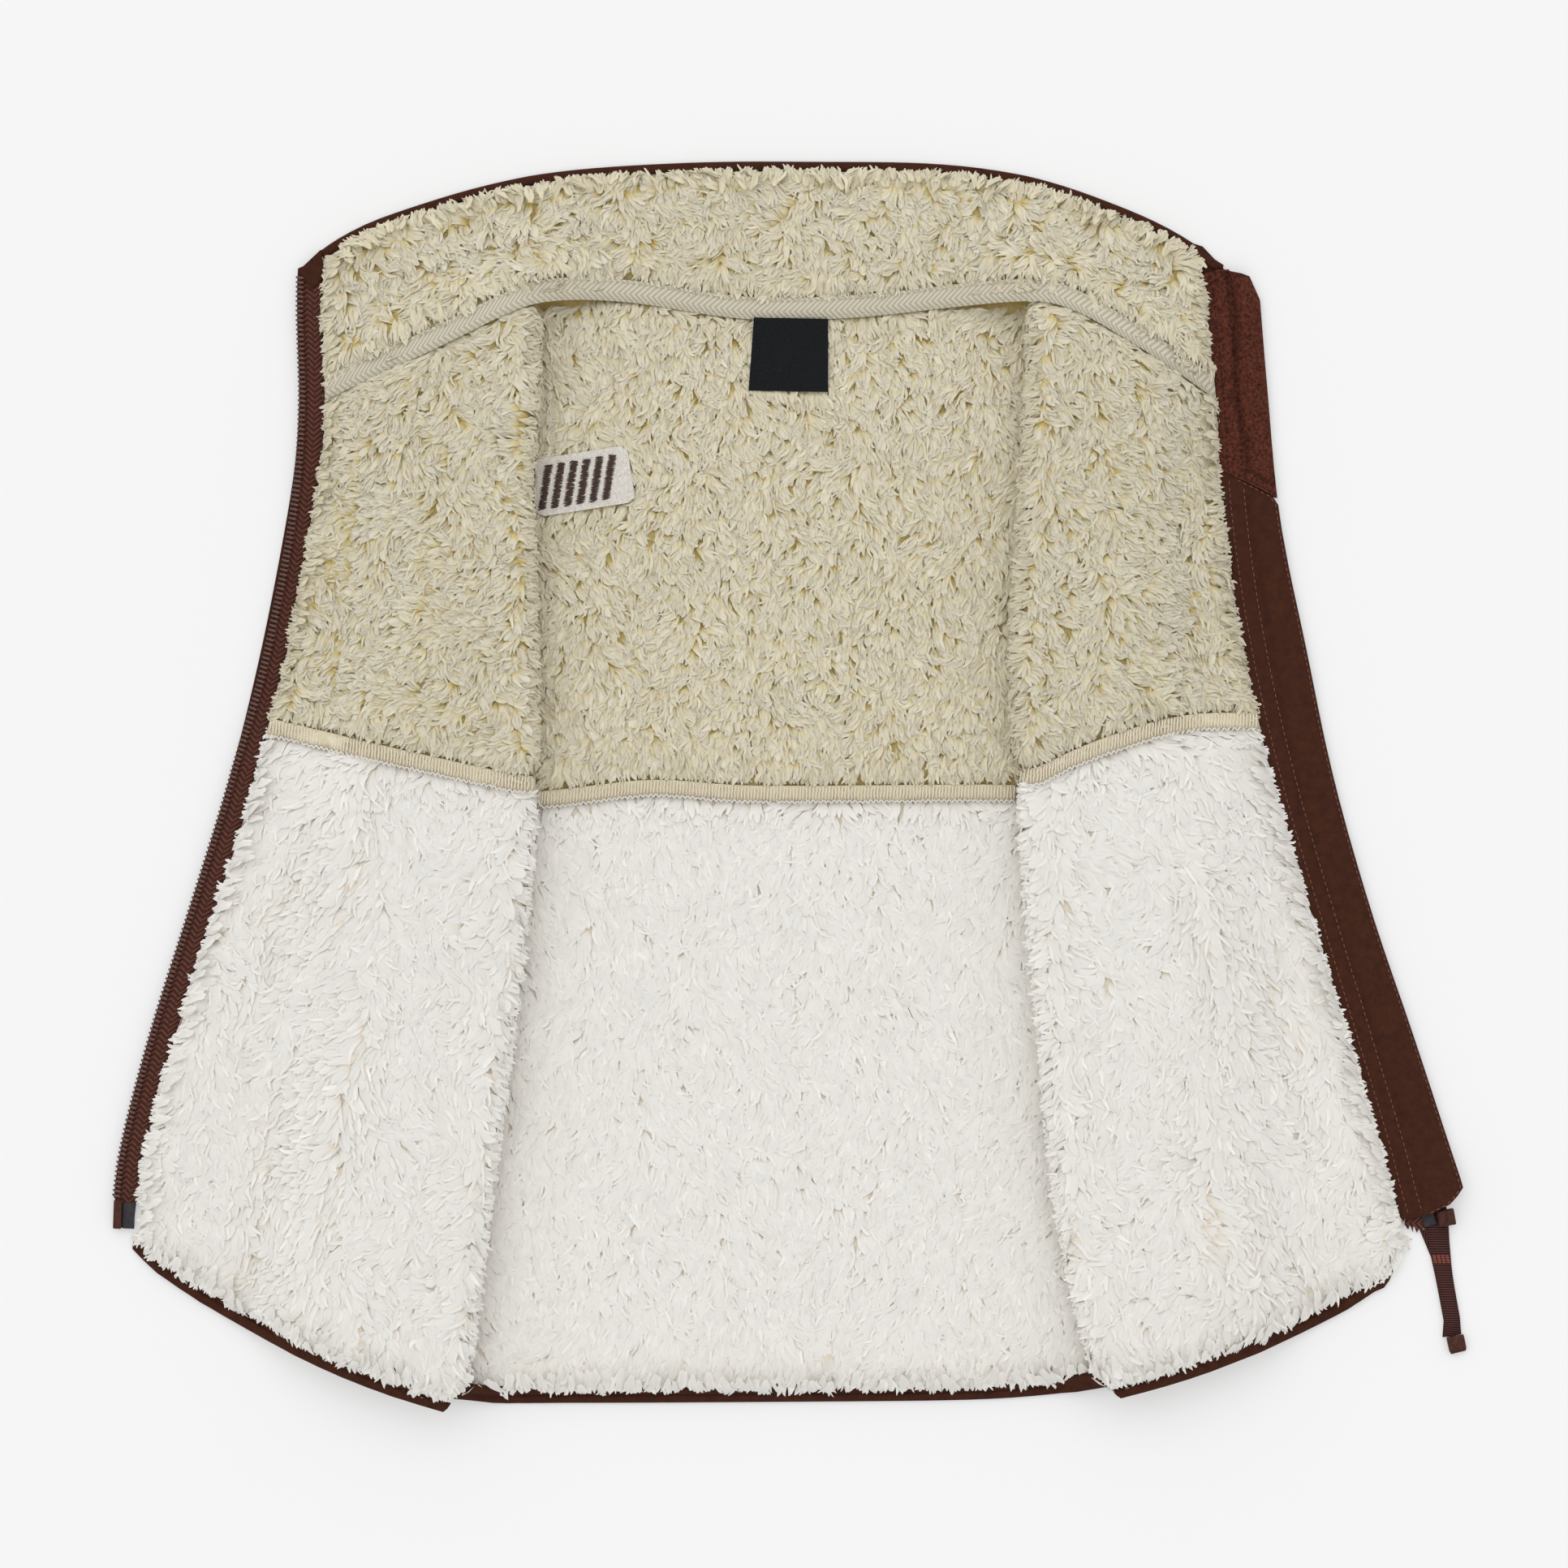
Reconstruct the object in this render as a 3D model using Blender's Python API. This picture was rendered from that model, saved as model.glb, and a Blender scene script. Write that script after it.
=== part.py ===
"""A child's sherpa fleece vest, laid on its back with both fronts turned back outward.

Every front is one folded wall: a lower leaf that lies on the back from the side seam inward,
a roll where it folds, and an upper leaf that runs out again to the zip and settles on the
surface. All lengths below are millimetres; +X is to the right, +Y towards the collar, +Z up.
"""
from collections import namedtuple

import bmesh
import bpy
import numpy as np

MM = 0.001

# ---------------------------------------------------------------- driving dimensions
FLEECE = 7.0              # double-faced fleece, its pile included
SEAM_GAP = 0.3            # between pieces that are sewn edge to edge or lie on each other
EDGE_REACH = 10.0         # the pile rounds off over this width along a cut edge
CUT_EDGE = 0.46           # share of the thickness left at a cut or bound edge
SEWN_EDGE = 0.60          # share of the thickness left at a seam between two panels
INSETS = (4.5, 10.0)      # first lines of points inside an edge
SECTION_STEP = 15.0       # spacing of the sections inside a panel
HIDDEN_STEP = 22.0        # the same across a lower leaf, which doesn't show
ROLL_HOLLOW = 1.5         # inner radius of the roll where a front folds
ROLL_FACETS = 5
ROLL_EASE = 20.0          # the two leaves close up over this width beside the roll
DROOP = 28.0              # width over which an upper leaf comes down to the surface
DROOP_MARGIN = 1.5        # the upper leaf stays level this far past what carries it
LEAF_UNDERSIDE = FLEECE + SEAM_GAP
LEAF_MEETING = LEAF_UNDERSIDE + FLEECE
SIDE_SEAM_DROP = 6.0      # the lower leaf comes down to the back at its seams by this much

ZIP_TAPE_WIDTH = 10.3     # from the outer edge of the coil to the fleece
ZIP_TAPE = 1.0            # thickness of the tape, and of the facing under it
FACING_SHOWS = 1.8        # how far the facing shows past the coil beside the yoke
FACING_EDGE = 0.3         # the facing's outer edge, inside the outline of the left front
FACING_TOP = (208.0, 211.6)       # height of its upper corners, outer and inner
LEFT_ZIP_TOP = 204.0
LEFT_ZIP_FOOT = -166.0
RIGHT_ZIP_TOP = 197.0
RIGHT_ZIP_FOOT = -155.6
RIGHT_TAPE = (-18.5, -5.0)        # its edges, from the outer edge of the placket
BACK_BAND_ENDS = (-101.0, 91.5)   # where the folded fronts cover the back's seam band
BACK_BAND_ROWS = 17
ZIP_ROWS = {"left": 26, "right": 20}
PLACKET_ROWS = {"upper": 9, "lower": 24}
COIL_WIDTH = 3.0
COIL_HEIGHT = 1.8
PLACKET = 1.3             # two layers of woven cloth
NECK_TAPE_REACH = 4.4     # half of the tape's width
NECK_TAPE = 0.9
BAND = 1.4                # overlocked seam allowance
BAND_BELOW = 3.6
BAND_ABOVE = 2.6
HEM_BAND_WIDTH = 4.0
COLLAR_BINDING_WIDTH = 3.1
BINDING = 2.0             # thickness of a folded binding
BINDING_FLAT = 0.75       # share of its width before it rounds off
LABEL = 0.8
PATCH = 0.9

Point = namedtuple("Point", "x y")
Station = namedtuple("Station", "y x")

# ---------------------------------------------------------------- outlines, seen from above
NECK_SEAM = [Point(-186.1, 159.0), Point(-144.3, 177.0), Point(-107.0, 195.0), Point(-88.0, 199.0),
             Point(-60.0, 198.0), Point(-18.0, 191.4), Point(26.0, 192.0), Point(74.0, 197.0),
             Point(104.0, 197.6), Point(120.4, 191.4), Point(152.7, 171.5), Point(171.5, 159.0)]
COLLAR_TOP = [Point(-186.2, 211.8), Point(-171.5, 221.3), Point(-146.0, 230.4), Point(-120.0, 238.0),
              Point(-88.0, 243.8), Point(-36.0, 247.0), Point(10.0, 247.2), Point(62.0, 246.3),
              Point(101.0, 240.3), Point(139.0, 226.8), Point(158.0, 217.2), Point(167.4, 210.0)]
BINDING_TAIL = [Point(172.8, 207.7), Point(175.3, 209.0)]     # its end, behind the placket's top
SHOULDER_TIP = {"left": Point(-154.4, 168.9), "right": Point(143.0, 168.9)}
NECK_POINT = {"left": -98.6, "right": 97.0}
ARMHOLE = {"left": [Point(-154.4, 168.9), Point(-147.0, 112.0), Point(-148.0, 60.0),
                    Point(-160.0, 20.0), Point(-173.9, -5.5)],
           "right": [Point(143.0, 168.9), Point(136.0, 112.0), Point(137.0, 60.0),
                     Point(149.0, 20.0), Point(163.0, -5.5)]}
SIDE_SEAM = {"left": [Point(-173.9, -5.5), Point(-178.0, -110.0), Point(-186.0, -224.0)],
             "right": [Point(163.0, -5.5), Point(168.0, -110.0), Point(178.0, -222.0)]}
BACK_YOKE_SEAM = [Point(-173.9, -5.5), Point(-102.0, -5.0), Point(-55.0, 0.0), Point(-20.0, -2.5),
                  Point(30.0, -2.5), Point(92.0, -2.3), Point(163.0, -5.5)]
BACK_HEM = [Point(-186.0, -224.0), Point(-137.0, -243.2), Point(-95.0, -244.4), Point(0.0, -244.0),
            Point(70.0, -243.3), Point(100.0, -241.6), Point(132.0, -237.0), Point(178.0, -222.0)]

# The roll's centre line; the fold that shows lies one wall and one hollow nearer the middle.
FOLD = {"left": [Point(-107.0, 195.0), Point(-108.1, 152.6), Point(-109.7, 103.7), Point(-108.1, 61.3),
                 Point(-108.0, 1.5), Point(-111.4, -43.0), Point(-116.2, -85.4),
                 Point(-127.5, -173.4), Point(-137.0, -246.4)],
        "right": [Point(104.5, 197.5), Point(103.5, 168.9), Point(101.2, 120.0), Point(98.6, 82.0),
                  Point(96.8, 35.0), Point(100.3, 4.5), Point(101.2, -23.5), Point(107.8, -91.9),
                  Point(116.2, -173.4), Point(132.0, -241.0)]}
FRONT_YOKE_SEAM = {"left": [Point(-108.0, 1.5), Point(-156.6, 12.1), Point(-208.8, 24.5)],
                   "right": [Point(100.3, 4.5), Point(115.0, 12.0), Point(137.0, 20.0),
                             Point(160.0, 26.0), Point(188.9, 26.5)]}
FRONT_HEM = {"left": [Point(-137.0, -246.4), Point(-166.4, -237.3), Point(-205.5, -220.0),
                      Point(-246.0, -197.0), Point(-262.8, -181.8)],
             "right": [Point(132.0, -241.0), Point(159.6, -233.4), Point(198.7, -218.8),
                       Point(226.0, -205.4), Point(240.5, -195.0), Point(248.4, -183.5)]}

LEFT_ZIP = [Station(214.0, -197.2), Station(185.0, -197.5), Station(159.0, -196.4),
            Station(133.0, -197.7), Station(107.0, -201.6), Station(55.0, -211.7),
            Station(3.0, -224.5), Station(-50.0, -240.8), Station(-102.0, -257.2),
            Station(-154.0, -270.1), Station(-182.0, -270.9)]
PLACKET_INNER = [Station(208.0, 166.6), Station(159.0, 171.8), Station(107.0, 175.4),
                 Station(55.0, 183.2), Station(3.0, 195.0), Station(-50.0, 210.3),
                 Station(-102.0, 226.0), Station(-154.0, 241.3), Station(-184.0, 246.7)]
PLACKET_OUTER = [Station(198.0, 189.4), Station(159.0, 192.6), Station(107.0, 197.7),
                 Station(55.0, 208.2), Station(3.0, 219.2), Station(-50.0, 234.2),
                 Station(-102.0, 251.8), Station(-154.0, 268.8), Station(-161.0, 271.0)]

PLACKET_TOP = [Point(166.8, 206.2), Point(176.0, 206.8), Point(185.2, 204.9)]
PLACKET_CORNER = Point(189.1, 200.5)
PLACKET_JOIN = [Point(174.5, 126.6), Point(196.7, 115.2)]
PLACKET_BOTTOM = [Point(247.2, -174.9), Point(253.0, -174.5), Point(260.0, -170.8),
                  Point(266.8, -167.2), Point(271.0, -161.0)]

# Across the placket, from its inner edge: where each line of points lies and its height.
PlacketLine = namedtuple("PlacketLine", "share height over_slider")
PLACKET_LINES = [PlacketLine(0.00, 1.3, 0.0), PlacketLine(0.25, 1.9, 1.0), PlacketLine(0.50, 3.2, 2.8),
                 PlacketLine(0.74, 3.5, 2.8), PlacketLine(1.00, 1.4, 3.2)]
SLIDER_HUMP = 26.0        # length of the placket that rises over the slider
SLIDER_FLAT = 10.0        # length of it that lies level over the slider

# Puller ribbon, from the slider down: centre line and width.
RibbonRow = namedtuple("RibbonRow", "x y width")
RIBBON_ROWS = [RibbonRow(261.0, -168.4, 9.6), RibbonRow(260.6, -177.3, 9.4), RibbonRow(262.4, -189.5, 8.0),
               RibbonRow(263.4, -196.0, 6.9), RibbonRow(265.4, -207.0, 6.8), RibbonRow(267.9, -220.6, 6.7)]
RIBBON = 1.2
CapRow = namedtuple("CapRow", "x y width height")
CAP_ROWS = [CapRow(267.97, -221.0, 6.8, 1.8), CapRow(268.2, -222.2, 7.0, 2.4),
            CapRow(269.1, -226.4, 6.9, 2.4), CapRow(269.4, -227.6, 6.0, 1.6)]

# Hard pieces: centre, size and turn about the upright axis in degrees.
Block = namedtuple("Block", "name x y z width length height turn")
BLOCKS = [Block("insertion_pin", -269.0, -172.1, 2.3, 3.4, 11.6, 2.6, -2.0),
          Block("end_film_left", -264.6, -172.3, 1.7, 4.8, 11.2, 0.6, -2.0),
          Block("slider", 261.3, -162.6, 3.3, 8.0, 10.4, 3.6, 17.0),
          Block("end_film_right", 257.0, -172.6, 1.9, 5.0, 8.6, 0.6, 17.0)]
RETAINER_BOX = Block("retainer_box", 264.3, -173.4, 3.1, 7.0, 6.6, 3.0, 10.0)
BLOCK_ROUNDING = 0.5
PIP_INSET = 0.9
PIP_HEIGHT = 0.7

LABEL_CORNERS = [Point(-13.4, 186.6), Point(16.2, 186.0), Point(16.2, 157.8), Point(-15.7, 158.3)]
PATCH_CENTRE = Point(-82.5, 122.0)
PATCH_SIZE = (40.0, 23.0)
PATCH_RADIUS = 3.0
PATCH_TURN = 9.0

FINISHES = {"fleece_beige": ("CBC3A9", 0.95), "fleece_ivory": ("E6E3DE", 0.95),
            "twill_cream": ("C9C2AE", 0.85), "overlock_beige": ("C8BFA8", 0.85),
            "woven_brown": ("43261E", 0.75), "brushed_brown": ("4B2922", 0.85),
            "label_black": ("1D2021", 0.7), "stitched_white": ("D8D2C8", 0.8), "zip_brown": ("3A2420", 0.5),
            "film_dark": ("2E2A30", 0.3), "moulded_brown": ("3A241E", 0.4), "ribbon_brown": ("45312F", 0.7)}


# ---------------------------------------------------------------- curves
class Edge:
    """A line seen from above, read by the share of its length."""

    def __init__(self, points, smooth=True):
        points = np.array([tuple(point)[:2] for point in points], float)
        self.points = catmull_rom(points) if smooth and len(points) > 2 else points
        steps = np.linalg.norm(np.diff(self.points, axis=0), axis=1)
        self.run = np.concatenate([[0.0], np.cumsum(steps)])
        self.length = self.run[-1]

    def at(self, share):
        run = share * self.length
        return np.array([np.interp(run, self.run, self.points[:, axis]) for axis in (0, 1)])

    def share_where(self, axis, value):
        order = np.argsort(self.points[:, axis])
        return np.interp(value, self.points[order, axis], self.run[order]) / self.length

    def side_step(self, share):
        """Direction at right angles to the line, to its left."""
        way = self.at(min(share + 0.01, 1.0)) - self.at(max(share - 0.01, 0.0))
        return np.array([-way[1], way[0]]) / np.linalg.norm(way)

    def part(self, first, last, count=25):
        return Edge([self.at(share) for share in np.linspace(first, last, count)], smooth=False)


def catmull_rom(points, per_span=12):
    """A smooth line through the points, close enough to read lengths from."""
    ends = [2 * points[0] - points[1], *points, 2 * points[-1] - points[-2]]
    line = []
    for a, b, c, d in zip(ends, ends[1:], ends[2:], ends[3:]):
        for t in np.arange(per_span) / per_span:
            line.append(0.5 * (2 * b + (c - a) * t + (2 * a - 5 * b + 4 * c - d) * t ** 2
                               + (3 * b - a - 3 * c + d) * t ** 3))
    line.append(points[-1])
    return np.array(line)


def upright(table, first_y, last_y, shift=0.0, count=40):
    """An edge read from a table of heights, moved sideways by shift."""
    line = catmull_rom(np.array([(row.x, row.y) for row in table], float))
    ys = np.linspace(first_y, last_y, count)
    xs = np.interp(-ys, -line[:, 1], line[:, 0])
    return Edge(np.column_stack([xs + shift, ys]), smooth=False)


def shares(length, inset_first=True, inset_last=True, step=SECTION_STEP):
    """Where the lines of points lie along a length: close at its edges, even between them."""
    first = [inset / length for inset in INSETS] if inset_first else []
    last = [1 - inset / length for inset in reversed(INSETS)] if inset_last else []
    start = first[-1] if first else 0.0
    end = last[0] if last else 1.0
    count = max(int(round((end - start) * length / step)), 1)
    inner = list(np.linspace(start, end, count + 1)[1:-1])
    return np.array([0.0] + first + inner + last + [1.0])


def coons(top, bottom, first, last, across, down):
    """Fill four edges: across runs from the first edge to the last, down from the top edge."""
    plan = np.zeros((len(down), len(across), 2))
    corners = [[top.at(0), top.at(1)], [bottom.at(0), bottom.at(1)]]
    for i, v in enumerate(down):
        for j, u in enumerate(across):
            between = (1 - v) * top.at(u) + v * bottom.at(u) + (1 - u) * first.at(v) + u * last.at(v)
            bilinear = ((1 - v) * ((1 - u) * corners[0][0] + u * corners[0][1])
                        + v * ((1 - u) * corners[1][0] + u * corners[1][1]))
            plan[i, j] = between - bilinear
    return plan


def pull_in(plan, side, gap):
    """Move one side of a plan grid inward, so that its neighbour has room."""
    near, far = {"top": (plan[0], plan[1]), "bottom": (plan[-1], plan[-2]),
                 "first": (plan[:, 0], plan[:, 1]), "last": (plan[:, -1], plan[:, -2])}[side]
    way = far - near
    near += way / np.linalg.norm(way, axis=-1, keepdims=True) * gap


def distances(plan, side):
    """How far each point of a plan grid lies from one of its sides."""
    border = {"top": plan[:1], "bottom": plan[-1:], "first": plan[:, :1], "last": plan[:, -1:]}[side]
    return np.linalg.norm(plan - border, axis=-1)


def rounding(distance, edge):
    """Share of the full thickness at a distance from an edge."""
    return edge + (1 - edge) * np.sin(np.clip(distance / EDGE_REACH, 0, 1) * np.pi / 2)


def wall_thickness(plan, top, bottom, first=CUT_EDGE, last=CUT_EDGE):
    """Thickness of a panel that rounds off to a share of it at each of its four sides."""
    thickness = np.full(plan.shape[:2], FLEECE)
    for side, share_left in (("top", top), ("bottom", bottom), ("first", first), ("last", last)):
        thickness *= rounding(distances(plan, side), share_left)
    return thickness


def ease(t):
    t = np.clip(t, 0, 1)
    return t * t * (3 - 2 * t)


# ---------------------------------------------------------------- meshes and materials
def srgb(hex_colour):
    channels = [int(hex_colour[i:i + 2], 16) / 255 for i in (0, 2, 4)]
    return [c / 12.92 if c <= 0.04045 else ((c + 0.055) / 1.055) ** 2.4 for c in channels]


def finish(name):
    material = bpy.data.materials.get(name)
    if material is None:
        colour, roughness = FINISHES[name]
        material = bpy.data.materials.new(name)
        material.use_nodes = True
        shader = material.node_tree.nodes["Principled BSDF"]
        shader.inputs["Base Color"].default_value = (*srgb(colour), 1.0)
        shader.inputs["Roughness"].default_value = roughness
        shader.inputs["Metallic"].default_value = 0.0
        material.diffuse_color = (*srgb(colour), 1.0)
    return material


def add_object(name, points, faces, finish_name):
    mesh = bpy.data.meshes.new(name)
    mesh.from_pydata([tuple(float(c) * MM for c in point) for point in points], [], faces)
    tidy = bmesh.new()
    tidy.from_mesh(mesh)
    bmesh.ops.recalc_face_normals(tidy, faces=tidy.faces)
    tidy.to_mesh(mesh)
    tidy.free()
    mesh.shade_smooth()
    mesh.set_sharp_from_angle(angle=np.radians(50))
    mesh.materials.append(finish(finish_name))
    obj = bpy.data.objects.new(name, mesh)
    bpy.context.scene.collection.objects.link(obj)
    return obj


def grid_faces(rows, columns, start=0):
    return [(start + i * columns + j, start + i * columns + j + 1,
             start + (i + 1) * columns + j + 1, start + (i + 1) * columns + j)
            for i in range(rows - 1) for j in range(columns - 1)]


def border(rows, columns):
    """Point numbers round a grid, in order."""
    return ([j for j in range(columns)] + [i * columns + columns - 1 for i in range(1, rows)]
            + [(rows - 1) * columns + j for j in range(columns - 2, -1, -1)]
            + [i * columns for i in range(rows - 2, 0, -1)])


def add_wall(name, outer, inner, finish_name):
    """A closed wall between two grids of points."""
    rows, columns = outer.shape[:2]
    count = rows * columns
    points = np.concatenate([outer.reshape(-1, 3), inner.reshape(-1, 3)])
    faces = grid_faces(rows, columns) + grid_faces(rows, columns, count)
    ring = border(rows, columns)
    faces += [(a, b, b + count, a + count) for a, b in zip(ring, ring[1:] + ring[:1])]
    return add_object(name, points, faces, finish_name)


def add_slab(name, outer, finish_name):
    """A grid of points over one flat face that lies on the surface."""
    rows, columns = outer.shape[:2]
    count = rows * columns
    ring = border(rows, columns)
    foot = outer.reshape(-1, 3)[ring].copy()
    foot[:, 2] = 0.0
    points = np.concatenate([outer.reshape(-1, 3), foot])
    size = len(ring)
    faces = grid_faces(rows, columns)
    faces += [(ring[k], ring[(k + 1) % size], count + (k + 1) % size, count + k) for k in range(size)]
    faces.append(tuple(range(count, count + size)))
    return add_object(name, points, faces, finish_name)


def add_loft(name, rings, finish_name):
    """A closed body through rings of points, capped at both ends."""
    size = len(rings[0])
    points = [point for ring in rings for point in ring]
    starts = [k * size for k in range(len(rings) - 1)]
    faces = [(k + i, k + (i + 1) % size, k + size + (i + 1) % size, k + size + i)
             for k in starts for i in range(size)]
    faces.append(tuple(range(size)))
    faces.append(tuple(range(len(points) - size, len(points))))
    return add_object(name, points, faces, finish_name)


def flat_ring(near, far, low, high):
    """A four-sided section between two points seen from above."""
    return [(*near, low), (*far, low), (*far, high), (*near, high)]


# ---------------------------------------------------------------- what carries the upper leaves
def support_outline(side):
    """Outline of a lower leaf, from the neck point round by the armhole and hem to the fold."""
    inward = 1 if side == "left" else -1
    shown_fold = FLEECE + ROLL_HOLLOW
    return np.array([*ARMHOLE[side], *SIDE_SEAM[side][1:]]
                    + [Point(point.x + inward * shown_fold, point.y) for point in FOLD[side][::-1]])


def distance_outside(points, outline):
    """Distance from each point to an outline, and zero inside it."""
    best = np.full(points.shape[:-1], np.inf)
    inside = np.zeros(points.shape[:-1], bool)
    for a, b in zip(outline, np.roll(outline, -1, axis=0)):
        along = b - a
        share = np.clip(((points - a) @ along) / (along @ along), 0, 1)
        gap = np.linalg.norm(points - a - share[..., None] * along, axis=-1)
        best = np.minimum(best, gap)
        crosses = (a[1] > points[..., 1]) != (b[1] > points[..., 1])
        if a[1] != b[1]:
            x_there = a[0] + (points[..., 1] - a[1]) * along[0] / along[1]
            inside ^= crosses & (points[..., 0] < x_there)
    return np.where(inside, 0.0, best)


SUPPORTS = [support_outline("left"), support_outline("right")]


def lift(plan):
    """Height of the underside of the upper leaves and the collar."""
    gap = np.minimum(distance_outside(plan, SUPPORTS[0]), distance_outside(plan, SUPPORTS[1]))
    return (LEAF_MEETING + SEAM_GAP) * (1 - ease((gap - DROOP_MARGIN) / DROOP))


def raised(plan, heights):
    return np.concatenate([plan, np.broadcast_to(heights, plan.shape[:2])[..., None]], axis=-1)


# ---------------------------------------------------------------- back
def back_shares(top_edge, neck_shares):
    """Lines of points across the back, with one on each neck point."""
    shoulder = neck_shares[0] * top_edge.length
    insets = [inset / top_edge.length for inset in INSETS]
    middle = [neck_shares[0] * (INSETS[-1] + shoulder) / (2 * shoulder)]
    left = [0.0] + insets + middle
    neck_count = int(round((neck_shares[1] - neck_shares[0]) * top_edge.length / SECTION_STEP))
    neck = list(np.linspace(neck_shares[0], neck_shares[1], neck_count + 1))
    right_middle = 1 - (1 - neck_shares[1]) * (INSETS[-1] + shoulder) / (2 * shoulder)
    right = [right_middle] + [1 - inset for inset in reversed(insets)] + [1.0]
    return np.array(left + neck + right), len(left), len(left) + len(neck)


def make_back():
    neck = Edge(NECK_SEAM)
    first = neck.share_where(0, NECK_POINT["left"])
    last = neck.share_where(0, NECK_POINT["right"])
    neckline = neck.part(first, last, 40)
    top_edge = Edge([SHOULDER_TIP["left"], *neckline.points, SHOULDER_TIP["right"]], smooth=False)
    neck_shares = [top_edge.run[1] / top_edge.length, top_edge.run[-2] / top_edge.length]
    across, neck_from, neck_to = back_shares(top_edge, neck_shares)
    seam = Edge(BACK_YOKE_SEAM)

    armholes = [Edge(ARMHOLE["left"]), Edge(ARMHOLE["right"])]
    yoke = coons(top_edge, seam, armholes[0], armholes[1], across, shares(armholes[0].length))
    neck_stations = yoke[0, neck_from:neck_to].copy()
    for side in ("top", "bottom"):
        pull_in(yoke, side, SEAM_GAP / 2)
    yoke_top = raised(yoke, wall_thickness(yoke, top=CUT_EDGE, bottom=SEWN_EDGE))
    add_slab("back_yoke", yoke_top, "fleece_beige")

    sides = [Edge(SIDE_SEAM["left"]), Edge(SIDE_SEAM["right"])]
    lower = coons(seam, Edge(BACK_HEM), sides[0], sides[1], across, shares(sides[0].length))
    for side in ("top", "bottom"):
        pull_in(lower, side, SEAM_GAP / 2)
    lower_top = raised(lower, wall_thickness(lower, top=SEWN_EDGE, bottom=CUT_EDGE))
    add_slab("back_lower", lower_top, "fleece_ivory")
    return yoke_top[:, neck_from:neck_to], neck_stations, lower_top


# ---------------------------------------------------------------- fronts
def make_front(name, fold, turn, seam_side, zip_side, upper_edges, lower_edges, ends_left, across, down,
               finish_name):
    """One folded front panel: lower leaf, roll and upper leaf in one wall."""
    lower_across, upper_across = across
    top_left, bottom_left = ends_left
    upper = coons(upper_edges[0], upper_edges[1], fold, zip_side, upper_across, down)
    lower = coons(lower_edges[0], lower_edges[1], seam_side, fold, lower_across, down)
    for plan in (upper, lower):
        pull_in(plan, "top", SEAM_GAP / 2)
        pull_in(plan, "bottom", SEAM_GAP / 2)
    pull_in(upper, "last", SEAM_GAP)
    lower[:, -1] = upper[:, 0]

    ends = rounding(distances(upper, "top"), top_left) * rounding(distances(upper, "bottom"), bottom_left)
    upper_wall = FLEECE * ends * rounding(distances(upper, "last"), CUT_EDGE)
    lower_ends = (rounding(distances(lower, "top"), top_left)
                  * rounding(distances(lower, "bottom"), bottom_left))
    lower_wall = FLEECE * lower_ends * rounding(distances(lower, "first"), CUT_EDGE)

    inside_ends = (ends[:, 0] - ends[:, 0].min()) / np.ptp(ends[:, 0])
    hollow_at_roll = SEAM_GAP / 2 + (ROLL_HOLLOW - SEAM_GAP / 2) * inside_ends
    near_roll = 1 - ease(distances(upper, "first") / ROLL_EASE)
    opening = 2 * (hollow_at_roll[:, None] - SEAM_GAP / 2) * near_roll
    upper_inner = lift(upper) + opening
    upper_outer = upper_inner + upper_wall

    away_from_roll = ease(distances(lower, "last") / EDGE_REACH / 2)
    drop = SIDE_SEAM_DROP * (1 - rounding(distances(lower, "first"), 0.0)) * away_from_roll
    lower_inner = LEAF_MEETING - drop
    lower_outer = lower_inner - lower_wall

    angles = np.linspace(-np.pi / 2, np.pi / 2, ROLL_FACETS + 1)[1:-1]
    centre = LEAF_MEETING + hollow_at_roll
    roll_outer, roll_inner = [], []
    for angle in angles:
        for radius, ring in ((hollow_at_roll + upper_wall[:, 0], roll_outer), (hollow_at_roll, roll_inner)):
            plan = upper[:, 0] + turn * (np.cos(angle) * radius)[:, None]
            ring.append(np.column_stack([plan, centre + np.sin(angle) * radius]))

    def joined(lower_height, roll, upper_height):
        return np.concatenate([raised(lower, lower_height), np.stack(roll, axis=1),
                               raised(upper, upper_height)], axis=1)

    outer = joined(lower_outer, roll_outer, upper_outer)
    inner = joined(lower_inner, roll_inner, upper_inner)
    add_wall(name, outer, inner, finish_name)
    return outer, inner, len(lower_across)


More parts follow.
